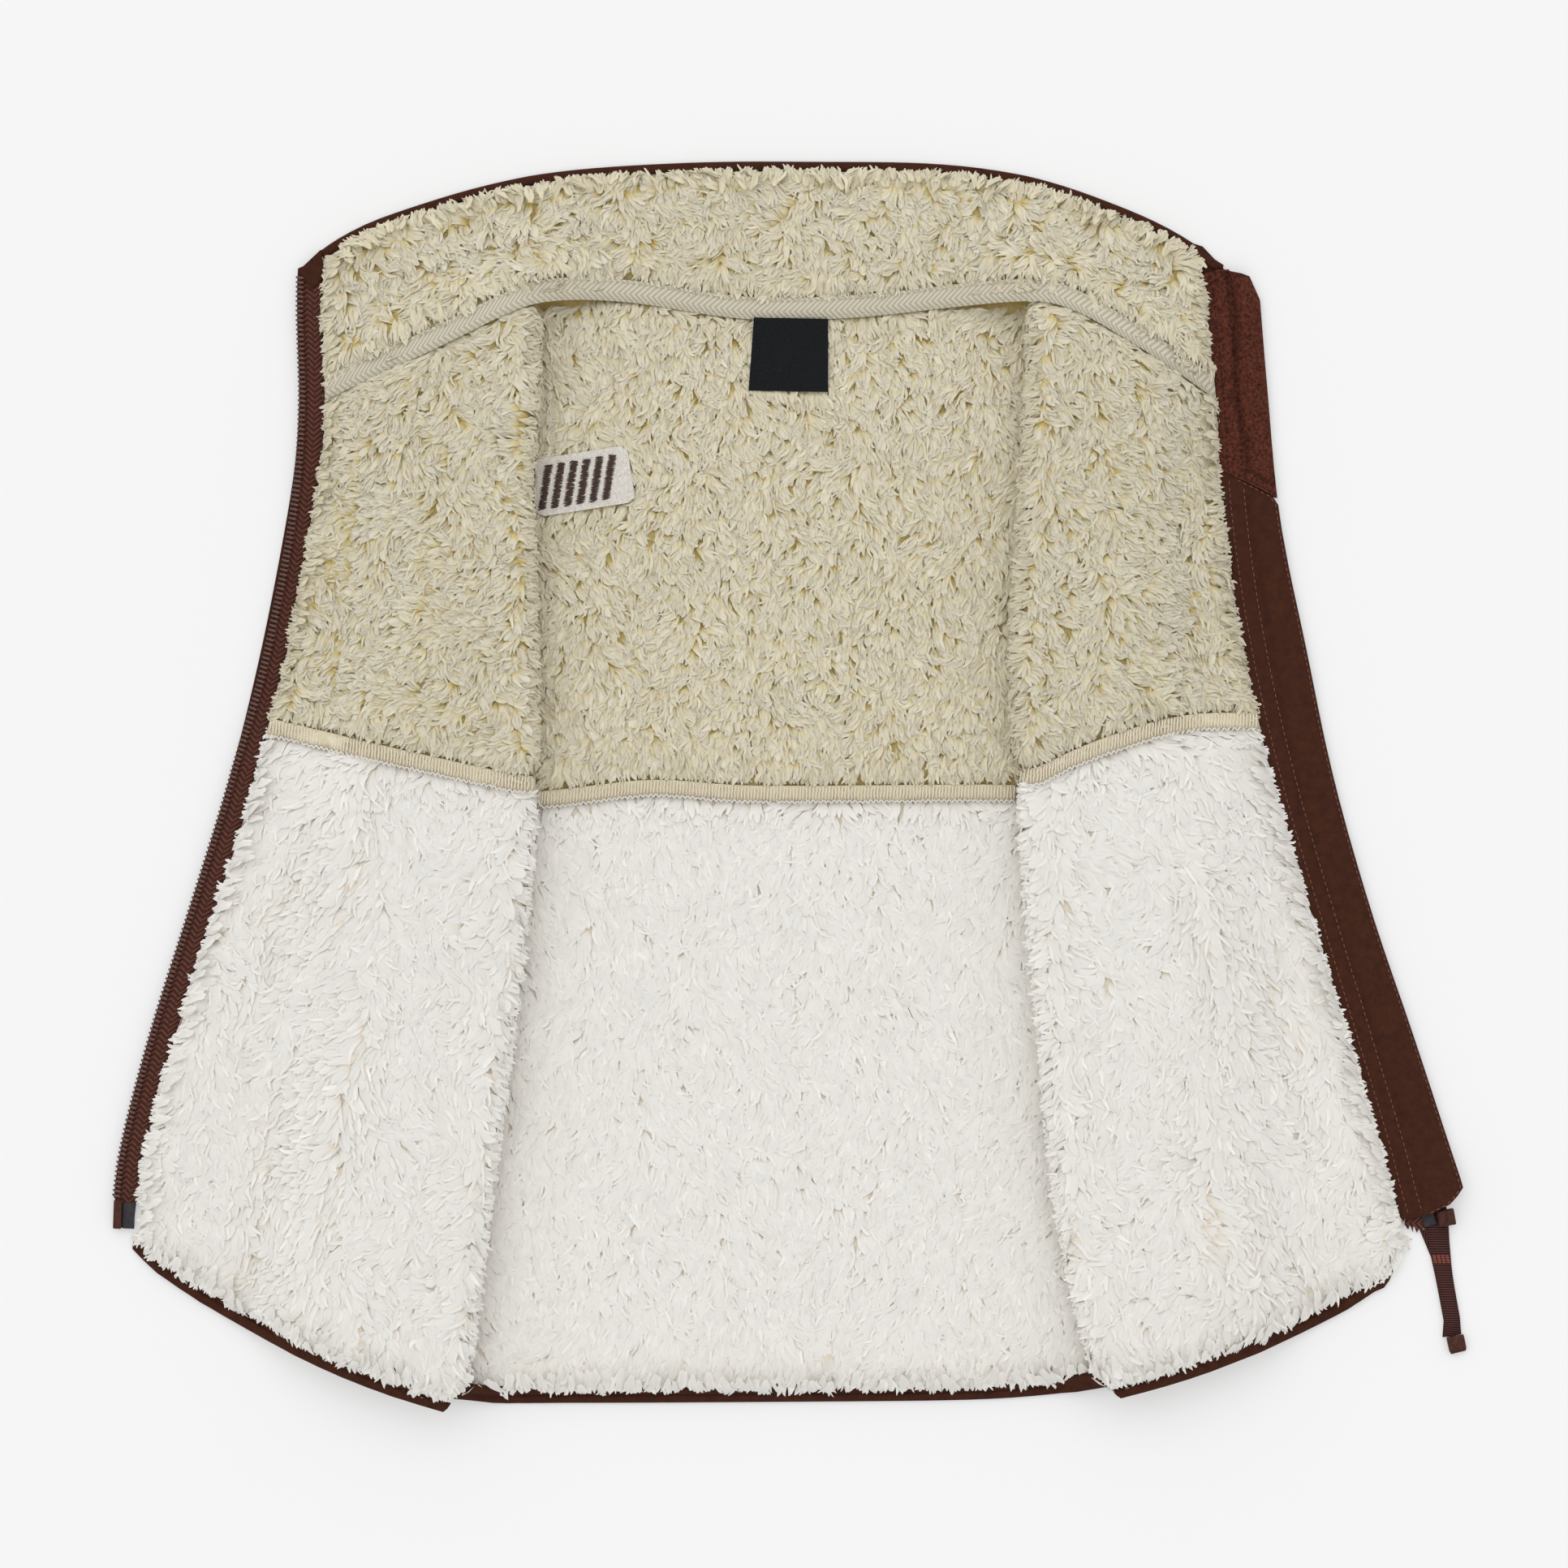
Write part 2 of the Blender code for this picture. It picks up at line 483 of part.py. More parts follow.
def make_fronts():
    """Both fronts, yoke and lower part each; gives their outer points for the trims."""
    neck = Edge(NECK_SEAM)
    zips = {"left": (LEFT_ZIP, ZIP_TAPE_WIDTH), "right": (PLACKET_INNER, 0.0)}
    made = {}
    for side in ("left", "right"):
        table, shift = zips[side]
        end_share = 0.0 if side == "left" else 1.0
        neck_part = neck.part(neck.share_where(0, FOLD[side][0].x), end_share, 40)
        seam = Edge(FRONT_YOKE_SEAM[side])
        hem = Edge(FRONT_HEM[side])
        corner = neck_part.at(1)
        yoke_zip = upright(table, corner[1], seam.at(1)[1], shift)
        lower_zip = upright(table, seam.at(1)[1], hem.at(1)[1], shift)
        yoke_zip.points[0], yoke_zip.points[-1] = corner, seam.at(1)
        lower_zip.points[0], lower_zip.points[-1] = seam.at(1), hem.at(1)
        whole_fold = Edge(FOLD[side])
        whole_fold.points[0] = neck_part.at(0)
        seam_share = whole_fold.share_where(1, seam.at(0)[1])
        yoke_fold, lower_fold = whole_fold.part(0, seam_share), whole_fold.part(seam_share, 1)
        armhole = Edge(ARMHOLE[side])
        side_seam = Edge(SIDE_SEAM[side])
        yoke_down, lower_down = shares(armhole.length), shares(side_seam.length)
        middle = 1 if side == "left" else -1
        yoke_turn = np.array([middle * whole_fold.side_step(seam_share * v) for v in yoke_down])
        lower_turn = np.array([middle * whole_fold.side_step(seam_share + (1 - seam_share) * v)
                               for v in lower_down])
        shoulder = Edge([armhole.at(0), yoke_fold.at(0)])
        lower_seam = Edge([armhole.at(1), yoke_fold.at(1)])
        lower_hem = Edge([side_seam.at(1), lower_fold.at(1)])
        across = (shares(lower_seam.length, inset_last=False, step=HIDDEN_STEP),
                  shares(seam.length, inset_first=False))
        yoke = make_front(side + "_front_yoke", yoke_fold, yoke_turn, armhole, yoke_zip,
                          (neck_part, seam), (shoulder, lower_seam), (CUT_EDGE, SEWN_EDGE),
                          across, yoke_down, "fleece_beige")
        lower = make_front(side + "_front_lower", lower_fold, lower_turn, side_seam, lower_zip,
                           (seam, hem), (lower_seam, lower_hem), (SEWN_EDGE, CUT_EDGE),
                           across, lower_down, "fleece_ivory")
        made[side] = (yoke, lower)
    return made


# ---------------------------------------------------------------- collar and neck
def neck_row(fronts, back_yoke_top, neck_stations):
    """Stations of the neck seam from zip to zip, with the outer points below each of them."""
    seam = Edge(NECK_SEAM)
    sides = {}
    for side, order in (("left", -1), ("right", 1)):
        outer, _, first_upper = fronts[side][0]
        columns = outer[:, first_upper + ROLL_FACETS - 1:][:, ::order]
        stations = [seam.at(seam.share_where(0, x)) for x in columns[0, :, 0]]
        sides[side] = (stations, list(zip(columns[0], columns[1])))
    back = (list(neck_stations), list(zip(back_yoke_top[0], back_yoke_top[1])))
    rows = (sides["left"], back, sides["right"])
    all_stations = [station for row in rows for station in row[0]]
    all_below = [pair for row in rows for pair in row[1]]
    return np.array(all_stations), all_below


def make_collar(stations):
    """The collar rises off the surface where it passes over the folded shoulders."""
    seam = Edge(stations, smooth=False)
    top = Edge(COLLAR_TOP)
    left_end = upright(LEFT_ZIP, stations[0][1], COLLAR_TOP[0].y, ZIP_TAPE_WIDTH)
    right_end = upright(PLACKET_INNER, stations[-1][1], COLLAR_TOP[-1].y)
    left_end.points[0], left_end.points[-1] = stations[0], COLLAR_TOP[0]
    right_end.points[0], right_end.points[-1] = stations[-1], COLLAR_TOP[-1]
    across = seam.run / seam.length
    plan = coons(seam, top, left_end, right_end, across, shares(50.0))
    pull_in(plan, "top", SEAM_GAP / 2)
    pull_in(plan, "first", SEAM_GAP)
    pull_in(plan, "last", SEAM_GAP)
    wall = wall_thickness(plan, top=CUT_EDGE, bottom=CUT_EDGE)
    under = lift(plan)
    outer = raised(plan, under + wall)
    inner = raised(plan, under)
    add_wall("collar", outer, inner, "fleece_beige")
    return outer, inner


def reach_over(edge_point, next_point, reach):
    """The point of a panel's surface at a distance from its edge."""
    way = next_point - edge_point
    return edge_point + way * reach / np.linalg.norm(way[:2])


def make_neck_tape(collar_outer, below):
    """Herringbone tape that covers the neck seam; it bridges the end of each roll."""
    rings = []
    for k, (near, far) in enumerate(below):
        low = reach_over(near, far, NECK_TAPE_REACH)
        high = reach_over(collar_outer[0, k], collar_outer[1, k], NECK_TAPE_REACH)
        low_z = max(low[2], high[2]) + SEAM_GAP
        high_z = high[2] + SEAM_GAP
        rings.append([(low[0], low[1], low_z), (high[0], high[1], high_z),
                      (high[0], high[1], high_z + NECK_TAPE), (low[0], low[1], low_z + NECK_TAPE)])
    add_loft("neck_tape", rings, "twill_cream")


def outward_steps(row):
    """Directions at right angles to a line of points, to its left."""
    along = np.gradient(row, axis=0)
    out = np.column_stack([-along[:, 1], along[:, 0]])
    return out / np.linalg.norm(out, axis=1, keepdims=True)


def binding_ring(near, far, under):
    """Section of a folded binding: flat against its panel and rounded at its far edge."""
    rounded = near + BINDING_FLAT * (far - near)
    return [(*near, under), (*rounded, under), (*far, under + BINDING / 2),
            (*rounded, under + BINDING), (*near, under + BINDING)]


def make_collar_binding(collar_outer, collar_inner):
    row = collar_outer[-1, :, :2]
    rings = []
    for point, step, under in zip(row, outward_steps(row), collar_inner[-1, :, 2]):
        near = point + step * SEAM_GAP
        rings.append(binding_ring(near, near + step * COLLAR_BINDING_WIDTH, under))
    rings.append(binding_ring(np.array(BINDING_TAIL[0]), np.array(BINDING_TAIL[1]), 0.0))
    add_loft("collar_binding", rings, "woven_brown")


def make_neck_label():
    base = FLEECE + SEAM_GAP
    rings = [[(*corner, z) for corner in LABEL_CORNERS] for z in (base, base + LABEL)]
    add_loft("neck_label", rings, "label_black")


def make_embroidery_patch():
    base = FLEECE + SEAM_GAP
    half_width, half_height = PATCH_SIZE[0] / 2 - PATCH_RADIUS, PATCH_SIZE[1] / 2 - PATCH_RADIUS
    outline = []
    for quarter, (sx, sy) in enumerate([(1, 1), (-1, 1), (-1, -1), (1, -1)]):
        for angle in np.radians(90 * quarter + np.array([0, 30, 60, 90])):
            outline.append((sx * half_width + PATCH_RADIUS * np.cos(angle),
                            sy * half_height + PATCH_RADIUS * np.sin(angle)))
    turn = np.radians(PATCH_TURN)
    spin = np.array([[np.cos(turn), -np.sin(turn)], [np.sin(turn), np.cos(turn)]])
    outline = np.array(outline) @ spin.T + np.array(PATCH_CENTRE)
    rings = [[(*point, z) for point in outline] for z in (base, base + PATCH)]
    add_loft("embroidery_patch", rings, "stitched_white")


# ---------------------------------------------------------------- seam bands and hem bands
def make_front_band(side, yoke, lower):
    """Overlocked seam allowance from the fold to the zip, over the join of two panels."""
    yoke_outer, yoke_inner, first_upper = yoke
    lower_outer, lower_inner, _ = lower
    rings = []
    for column in range(first_upper + ROLL_FACETS // 2, yoke_outer.shape[1]):
        out = yoke_outer[-1, column] - yoke_inner[-1, column]
        out += lower_outer[0, column] - lower_inner[0, column]
        out /= np.linalg.norm(out)
        low = reach_over(lower_outer[0, column], lower_outer[1, column], BAND_BELOW)
        high = reach_over(yoke_outer[-1, column], yoke_outer[-2, column], BAND_ABOVE)
        rings.append([low + out * SEAM_GAP, high + out * SEAM_GAP,
                      high + out * (SEAM_GAP + BAND), low + out * (SEAM_GAP + BAND)])
    add_loft(side + "_seam_band", rings, "overlock_beige")


def make_back_band():
    """The same allowance on the back, from fold to fold."""
    seam = Edge(BACK_YOKE_SEAM)
    first, last = (seam.share_where(0, x) for x in BACK_BAND_ENDS)
    row = np.array([seam.at(share) for share in np.linspace(first, last, BACK_BAND_ROWS)])
    up = outward_steps(row)
    low_z = FLEECE * rounding(BAND_BELOW, SEWN_EDGE) + SEAM_GAP
    high_z = FLEECE * rounding(BAND_ABOVE, SEWN_EDGE) + SEAM_GAP
    rings = []
    for point, step in zip(row, up):
        low, high = point - step * BAND_BELOW, point + step * BAND_ABOVE
        rings.append([(*low, low_z), (*high, high_z), (*high, high_z + BAND), (*low, low_z + BAND)])
    add_loft("back_seam_band", rings, "overlock_beige")


def make_hem_band(name, outer, inner):
    """A folded woven binding along the last row of a panel, round its roll as well."""
    row = (outer[-1] + inner[-1]) / 2
    wall = outer[-1] - inner[-1]
    wall /= np.linalg.norm(wall, axis=1, keepdims=True)
    down = outer[-1] - outer[-3]
    down[:, 2] = 0.0
    down /= np.linalg.norm(down, axis=1, keepdims=True)
    rings = []
    for point, across, step in zip(row, wall, down):
        near = point + step * SEAM_GAP
        shoulder = point + step * HEM_BAND_WIDTH * 0.8
        far = point + step * (SEAM_GAP + HEM_BAND_WIDTH)
        half = across * BINDING / 2
        rings.append([near - half, shoulder - half, far, shoulder + half, near + half])
    add_loft(name, rings, "woven_brown")


def make_back_hem_band(lower_top):
    row = lower_top[-1, :, :2]
    out = -outward_steps(row)
    rings = []
    for point, step in zip(row, out):
        near = point + step * SEAM_GAP
        rings.append(binding_ring(near, point + step * (HEM_BAND_WIDTH - SEAM_GAP), 0.0))
    add_loft("hem_band_back", rings, "woven_brown")


# ---------------------------------------------------------------- zip, placket and puller
def upright_strip(name, edge_first, edge_last, rows, low, high, finish_name):
    """A flat strip between two edges that run down the garment."""
    rings = []
    for share in np.linspace(0, 1, rows):
        rings.append(flat_ring(edge_first.at(share), edge_last.at(share), low, high))
    return add_loft(name, rings, finish_name)


def coil(name, line, rows, base, finish_name):
    """Solid of a zip's coil: flat below, rounded above."""
    rings = []
    for share in np.linspace(0, 1, rows):
        x, y = line.at(share)
        half = COIL_WIDTH / 2
        rings.append([(x - half, y, base), (x + half, y, base), (x + half, y, base + COIL_HEIGHT * 0.6),
                      (x + half * 0.5, y, base + COIL_HEIGHT), (x - half * 0.5, y, base + COIL_HEIGHT),
                      (x - half, y, base + COIL_HEIGHT * 0.6)])
    return add_loft(name, rings, finish_name)


def make_left_zip():
    """Facing, tape and coil along the left edge, stacked on the surface."""
    rows = ZIP_ROWS["left"]
    facing_out = upright(LEFT_ZIP, FACING_TOP[0], LEFT_ZIP_FOOT, FACING_EDGE)
    facing_in = upright(LEFT_ZIP, FACING_TOP[1], LEFT_ZIP_FOOT, ZIP_TAPE_WIDTH - SEAM_GAP)
    upright_strip("left_zip_facing", facing_out, facing_in, rows, 0.0, ZIP_TAPE, "woven_brown")
    tape_base = ZIP_TAPE + SEAM_GAP
    coil_line = upright(LEFT_ZIP, LEFT_ZIP_TOP, LEFT_ZIP_FOOT, COIL_WIDTH / 2 + 0.1)
    heights = coil_line.points[:, 1]
    beside_yoke = ease((heights - 5.0) / 40.0) * ease((150.0 - heights) / 60.0)
    coil_line.points[:, 0] += FACING_SHOWS * beside_yoke
    tape_out = Edge(coil_line.points - np.array([COIL_WIDTH * 0.2, 0.0]), smooth=False)
    tape_in = upright(LEFT_ZIP, LEFT_ZIP_TOP, LEFT_ZIP_FOOT, ZIP_TAPE_WIDTH - SEAM_GAP)
    upright_strip("left_zip_tape", tape_out, tape_in, rows, tape_base, tape_base + ZIP_TAPE, "zip_brown")
    coil("left_coil", coil_line, rows, tape_base + ZIP_TAPE + SEAM_GAP, "zip_brown")


def placket_part(name, top, bottom, inner, outer, rows, finish_name, top_gap, bottom_gap):
    across = np.array([line.share for line in PLACKET_LINES])
    plan = coons(top, bottom, inner, outer, across, np.linspace(0, 1, rows))
    pull_in(plan, "top", top_gap)
    pull_in(plan, "bottom", bottom_gap)
    over_slider = 1 - ease((plan[..., 1] - PLACKET_BOTTOM[0].y - SLIDER_FLAT) / SLIDER_HUMP)
    level = np.array([line.height for line in PLACKET_LINES])
    added = np.array([line.over_slider for line in PLACKET_LINES])
    under = level + over_slider * added
    add_wall(name, raised(plan, under + PLACKET), raised(plan, under), finish_name)


def make_placket():
    """Wind flap over the right zip: a brushed upper part and a smooth lower part."""
    join = Edge(PLACKET_JOIN)
    inner_line = upright(PLACKET_INNER, PLACKET_TOP[0].y, join.at(0)[1], SEAM_GAP)
    outer_line = upright(PLACKET_OUTER, PLACKET_CORNER.y - 4.0, join.at(1)[1])
    outer_line = Edge([PLACKET_TOP[-1], PLACKET_CORNER, *outer_line.points], smooth=False)
    top = Edge([inner_line.at(0), *PLACKET_TOP[1:]], smooth=False)
    join_edge = Edge([inner_line.at(1), outer_line.at(1)])
    placket_part("placket_upper", top, join_edge, inner_line, outer_line, PLACKET_ROWS["upper"],
                 "brushed_brown", 0.0, SEAM_GAP / 2)
    bottom = Edge(PLACKET_BOTTOM, smooth=False)
    inner_low = upright(PLACKET_INNER, join_edge.at(0)[1], PLACKET_BOTTOM[0].y, SEAM_GAP)
    outer_low = upright(PLACKET_OUTER, join_edge.at(1)[1], PLACKET_BOTTOM[-1].y)
    inner_low.points[0], inner_low.points[-1] = join_edge.at(0), bottom.at(0)
    outer_low.points[0], outer_low.points[-1] = join_edge.at(1), bottom.at(1)
    placket_part("placket_lower", join_edge, bottom, inner_low, outer_low, PLACKET_ROWS["lower"],
                 "woven_brown", SEAM_GAP / 2, 0.0)


def make_right_zip():
    """Tape and coil hidden under the placket."""
    rows = ZIP_ROWS["right"]
    tape_in, tape_out = (upright(PLACKET_OUTER, RIGHT_ZIP_TOP, RIGHT_ZIP_FOOT, shift)
                         for shift in RIGHT_TAPE)
    upright_strip("right_zip_tape", tape_in, tape_out, rows, 0.0, ZIP_TAPE, "zip_brown")
    coil_shift = RIGHT_TAPE[1] - 0.2 - COIL_WIDTH / 2
    coil("right_coil", upright(PLACKET_OUTER, RIGHT_ZIP_TOP, RIGHT_ZIP_FOOT, coil_shift), rows,
         ZIP_TAPE + SEAM_GAP, "zip_brown")


def add_block(block, finish_name, pips=False):
    """A small moulded piece with rounded edges, and pips on top where it has them."""
    shape = bmesh.new()
    bmesh.ops.create_cube(shape, size=1.0)
    bmesh.ops.scale(shape, vec=(block.width * MM, block.length * MM, block.height * MM), verts=shape.verts)
    mesh = bpy.data.meshes.new(block.name)
    if pips:
        raise_pips(shape)
    shape.to_mesh(mesh)
    shape.free()
    mesh.materials.append(finish(finish_name))
    obj = bpy.data.objects.new(block.name, mesh)
    bpy.context.scene.collection.objects.link(obj)
    obj.location = (block.x * MM, block.y * MM, block.z * MM)
    obj.rotation_euler = (0.0, 0.0, np.radians(block.turn))
    rounding_modifier = obj.modifiers.new("rounded_edges", "BEVEL")
    rounding_modifier.width = min(BLOCK_ROUNDING, block.height * 0.3) * MM
    rounding_modifier.segments = 2
    rounding_modifier.limit_method = "ANGLE"
    return obj


def raise_pips(shape):
    """Two square pips on the top face of the retainer box."""
    top = max(shape.faces, key=lambda face: face.calc_center_median().z)
    across = [edge for edge in top.edges if abs(edge.verts[0].co.x - edge.verts[1].co.x) > MM]
    bmesh.ops.subdivide_edges(shape, edges=across, cuts=1)
    shape.faces.ensure_lookup_table()
    tops = [face for face in shape.faces if face.normal.z > 0.9]
    bmesh.ops.inset_individual(shape, faces=tops, thickness=PIP_INSET * MM)
    raised_verts = list({vert for face in tops for vert in face.verts})
    bmesh.ops.translate(shape, vec=(0, 0, PIP_HEIGHT * MM), verts=raised_verts)


def make_ribbon():
    centres = np.array([(row.x, row.y) for row in RIBBON_ROWS])
    side = outward_steps(centres)
    rings = [flat_ring(point + step * row.width / 2, point - step * row.width / 2, 0.0, RIBBON)
             for point, step, row in zip(centres, side, RIBBON_ROWS)]
    add_loft("pull_ribbon", rings, "ribbon_brown")
    centres = np.array([(row.x, row.y) for row in CAP_ROWS])
    side = outward_steps(centres)
    rings = [flat_ring(point + step * row.width / 2, point - step * row.width / 2, 0.0, row.height)
             for point, step, row in zip(centres, side, CAP_ROWS)]
    add_loft("ribbon_cap", rings, "moulded_brown")


# ---------------------------------------------------------------- the garment
for old in list(bpy.data.objects):
    bpy.data.objects.remove(old, do_unlink=True)

back_yoke_top, back_neck_stations, back_lower_top = make_back()
make_back_band()
make_back_hem_band(back_lower_top)
front_pieces = make_fronts()
for front_side, (front_yoke, front_lower) in front_pieces.items():
    make_front_band(front_side, front_yoke, front_lower)
    make_hem_band(front_side + "_hem_band", front_lower[0], front_lower[1])
neck_stations, points_below = neck_row(front_pieces, back_yoke_top, back_neck_stations)
collar_top, collar_under = make_collar(neck_stations)
make_neck_tape(collar_top, points_below)
make_collar_binding(collar_top, collar_under)
make_neck_label()
make_embroidery_patch()
make_left_zip()
make_placket()
make_right_zip()
for small_block in BLOCKS:
    add_block(small_block, "film_dark" if "film" in small_block.name else "moulded_brown")
add_block(RETAINER_BOX, "moulded_brown", pips=True)
make_ribbon()
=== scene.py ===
import bmesh
import bpy
import numpy as np
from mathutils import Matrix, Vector, noise
from mathutils.bvhtree import BVHTree


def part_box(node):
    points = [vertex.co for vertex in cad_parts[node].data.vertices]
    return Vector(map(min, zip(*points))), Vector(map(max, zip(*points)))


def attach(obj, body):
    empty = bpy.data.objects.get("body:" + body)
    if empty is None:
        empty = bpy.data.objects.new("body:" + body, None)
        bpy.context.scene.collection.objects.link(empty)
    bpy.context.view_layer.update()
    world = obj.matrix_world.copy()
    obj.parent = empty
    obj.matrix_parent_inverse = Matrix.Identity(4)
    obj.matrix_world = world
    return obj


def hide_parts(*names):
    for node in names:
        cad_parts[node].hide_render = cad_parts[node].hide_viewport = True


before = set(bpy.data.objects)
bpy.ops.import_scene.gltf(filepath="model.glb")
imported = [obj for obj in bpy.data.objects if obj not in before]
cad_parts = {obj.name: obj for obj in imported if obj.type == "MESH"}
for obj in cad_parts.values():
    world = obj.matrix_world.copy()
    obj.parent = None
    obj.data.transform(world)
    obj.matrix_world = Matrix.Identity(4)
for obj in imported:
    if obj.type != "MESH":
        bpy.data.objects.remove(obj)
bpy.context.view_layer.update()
MM = 0.001

# ------------------------------------------------------------------ light, floor and camera
# A pale sheet of studio paper under a soft overhead light. The camera looks straight down from
# three metres, and its square picture is 630 mm wide on the garment.
VIEW_WIDTH = 630.0
VIEW_HEIGHT = 3000.0
VIEW_CENTRE = (-1.5, 0.65)
SENSOR = 36.0
PAPER_HALF = 3.0
PAPER_TOP = -0.0004
PAPER_GLOW = 0.315
SKY_STRENGTH = 0.77
SUN_STRENGTH = 0.83
SUN_SPREAD = np.radians(80)
SUN_TILT = (np.radians(-32), np.radians(-14), 0.0)


def srgb(hex_colour, alpha=1.0):
    channels = [int(hex_colour[i:i + 2], 16) / 255 for i in (0, 2, 4)]
    return (*[c / 12.92 if c <= 0.04045 else ((c + 0.055) / 1.055) ** 2.4 for c in channels], alpha)


def add_node(tree, kind, inputs=(), stops=(), **settings):
    """A shader node. Its inputs, by name or in order, take a value, a hex colour or a link."""
    node = tree.nodes.new("ShaderNode" + kind)
    for key, value in settings.items():
        setattr(node, key, value)
    for number, (position, colour) in enumerate(stops):
        elements = node.color_ramp.elements
        element = elements[number] if number < 2 else elements.new(position)
        element.position, element.color = position, srgb(colour)
    for key, value in (inputs if isinstance(inputs, dict) else dict(enumerate(inputs))).items():
        if isinstance(value, bpy.types.Node):
            value = value.outputs[0]
        if isinstance(value, bpy.types.NodeSocket):
            tree.links.new(value, node.inputs[key])
        else:
            node.inputs[key].default_value = srgb(value) if isinstance(value, str) else value
    return node


def new_finish(name, colour, roughness, **shader_settings):
    """A material and its Principled shader, with the values that are the same all over it."""
    material = bpy.data.materials.new(name)
    material.use_nodes = True
    shader = material.node_tree.nodes["Principled BSDF"]
    shader.inputs["Base Color"].default_value = srgb(colour)
    shader.inputs["Roughness"].default_value = roughness
    for key, value in shader_settings.items():
        shader.inputs[key.replace("_", " ")].default_value = value
    return material, material.node_tree, shader


def surfaced(tree, shader, colour, relief, depth_mm, strength):
    """Gives a shader its colour, if it changes over the surface, and its relief."""
    if colour is not None:
        tree.links.new(colour, shader.inputs["Base Color"])
    relief = add_node(tree, "Bump", {"Strength": strength, "Distance": depth_mm * MM, "Height": relief})
    tree.links.new(relief.outputs["Normal"], shader.inputs["Normal"])


def add_object(name, mesh, material):
    """An object of a smooth mesh, all in one material."""
    mesh.materials.clear()
    mesh.materials.append(material)
    mesh.shade_smooth()
    piece = bpy.data.objects.new(name, mesh)
    bpy.context.scene.collection.objects.link(piece)
    return piece


def add_mesh(name, points, faces, material):
    mesh = bpy.data.meshes.new(name)
    mesh.from_pydata([tuple(point) for point in points], [], faces)
    return add_object(name, mesh, material)


# Uncoated paper: matt, with a faint tooth. Its small glow stands for the light of a whole white room.
paper, tree, shader = new_finish("pale_studio_paper", "CDCDCD", 0.9, Emission_Strength=PAPER_GLOW,
                                 Emission_Color=srgb("FFFFFF"))
tooth = add_node(tree, "TexNoise", {"Vector": add_node(tree, "TexCoord").outputs["Object"],
                                    "Scale": 1 / (1.111 * MM), "Detail": 3.0})
surfaced(tree, shader, None, tooth, 0.05, 0.2)
add_mesh("floor", [(x * PAPER_HALF, y * PAPER_HALF, PAPER_TOP)
                            for x, y in ((-1, -1), (1, -1), (1, 1), (-1, 1))], [(0, 1, 2, 3)], paper)

world = bpy.context.scene.world or bpy.data.worlds.new("studio")
bpy.context.scene.world = world
world.use_nodes = True
world.node_tree.nodes["Background"].inputs["Color"].default_value = (1.0, 1.0, 1.0, 1.0)
world.node_tree.nodes["Background"].inputs["Strength"].default_value = SKY_STRENGTH
bpy.context.scene.view_settings.view_transform = "Standard"

softbox = bpy.data.lights.new("softbox", "SUN")
softbox.energy = SUN_STRENGTH
softbox.angle = SUN_SPREAD
softbox_object = bpy.data.objects.new("softbox", softbox)
softbox_object.rotation_euler = SUN_TILT
bpy.context.scene.collection.objects.link(softbox_object)

camera = bpy.data.cameras.new("camera")
camera.sensor_width = SENSOR
camera.lens = SENSOR * VIEW_HEIGHT / VIEW_WIDTH
camera.clip_end = 20.0
camera_object = bpy.data.objects.new("camera", camera)
camera_object.location = (VIEW_CENTRE[0] * MM, VIEW_CENTRE[1] * MM, VIEW_HEIGHT * MM)
bpy.context.scene.collection.objects.link(camera_object)
bpy.context.scene.camera = camera_object

# ------------------------------------------------------------------ fleece ground
# Seven panels of double-faced sherpa: knitted ground with a curled pile on the face that shows.
# Each ground keeps the form of its solid and lies a pile's depth inside it, so that the locks
# that stand on it fill the solid out again.
FLEECE = {"back_yoke": "beige", "back_lower": "ivory", "left_front_yoke": "beige",
          "left_front_lower": "ivory", "right_front_yoke": "beige", "right_front_lower": "ivory",
          "collar": "beige"}
PILE_DEPTH = {"beige": 1.5, "ivory": 0.9}
SEEN_FROM = -0.4


def welded(name):
    """The mesh of a CAD node as a BMesh, with points that coincide made one."""
    solid = bmesh.new()
    solid.from_mesh(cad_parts[name].data)
    bmesh.ops.remove_doubles(solid, verts=solid.verts, dist=1e-6)
    return solid


def cad_arrays(name):
    """Points and triangles of a CAD node."""
    solid = welded(name)
    bmesh.ops.triangulate(solid, faces=solid.faces)
    points = np.array([vert.co for vert in solid.verts])
    triangles = np.array([[vert.index for vert in face.verts] for face in solid.faces])
    solid.free()
    return points, triangles


SOLIDS = {name: cad_arrays(name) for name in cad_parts}
TREES = {name: BVHTree.FromPolygons([tuple(point) for point in points], triangles.tolist())
         for name, (points, triangles) in SOLIDS.items()}


def joined_tree():
    """One search tree of the whole garment, and the name of the node that owns each triangle."""
    points, triangles, owners, base = [], [], [], 0
    for name, (node_points, node_triangles) in SOLIDS.items():
        points.append(node_points)
        triangles.append(node_triangles + base)
        owners += [name] * len(node_triangles)
        base += len(node_points)
    points, triangles = np.concatenate(points), np.concatenate(triangles)
    return BVHTree.FromPolygons([tuple(point) for point in points], triangles.tolist()), owners


GARMENT, OWNERS = joined_tree()
DOWN = Vector((0, 0, -1))
ABOVE_ALL = 0.2


def open_above(point, normal):
    """True if nothing of the garment lies over a point of its surface."""
    return GARMENT.ray_cast(Vector(point) + Vector(normal) * 0.4 * MM, Vector(normal), 60 * MM)[0] is None


def top_at(x, y):
    """The node seen from above at a place on the floor, and its height there."""
    place, _, index, _ = GARMENT.ray_cast(Vector((x, y, ABOVE_ALL)), DOWN)
    return (None, 0.0) if place is None else (OWNERS[index], place.z)


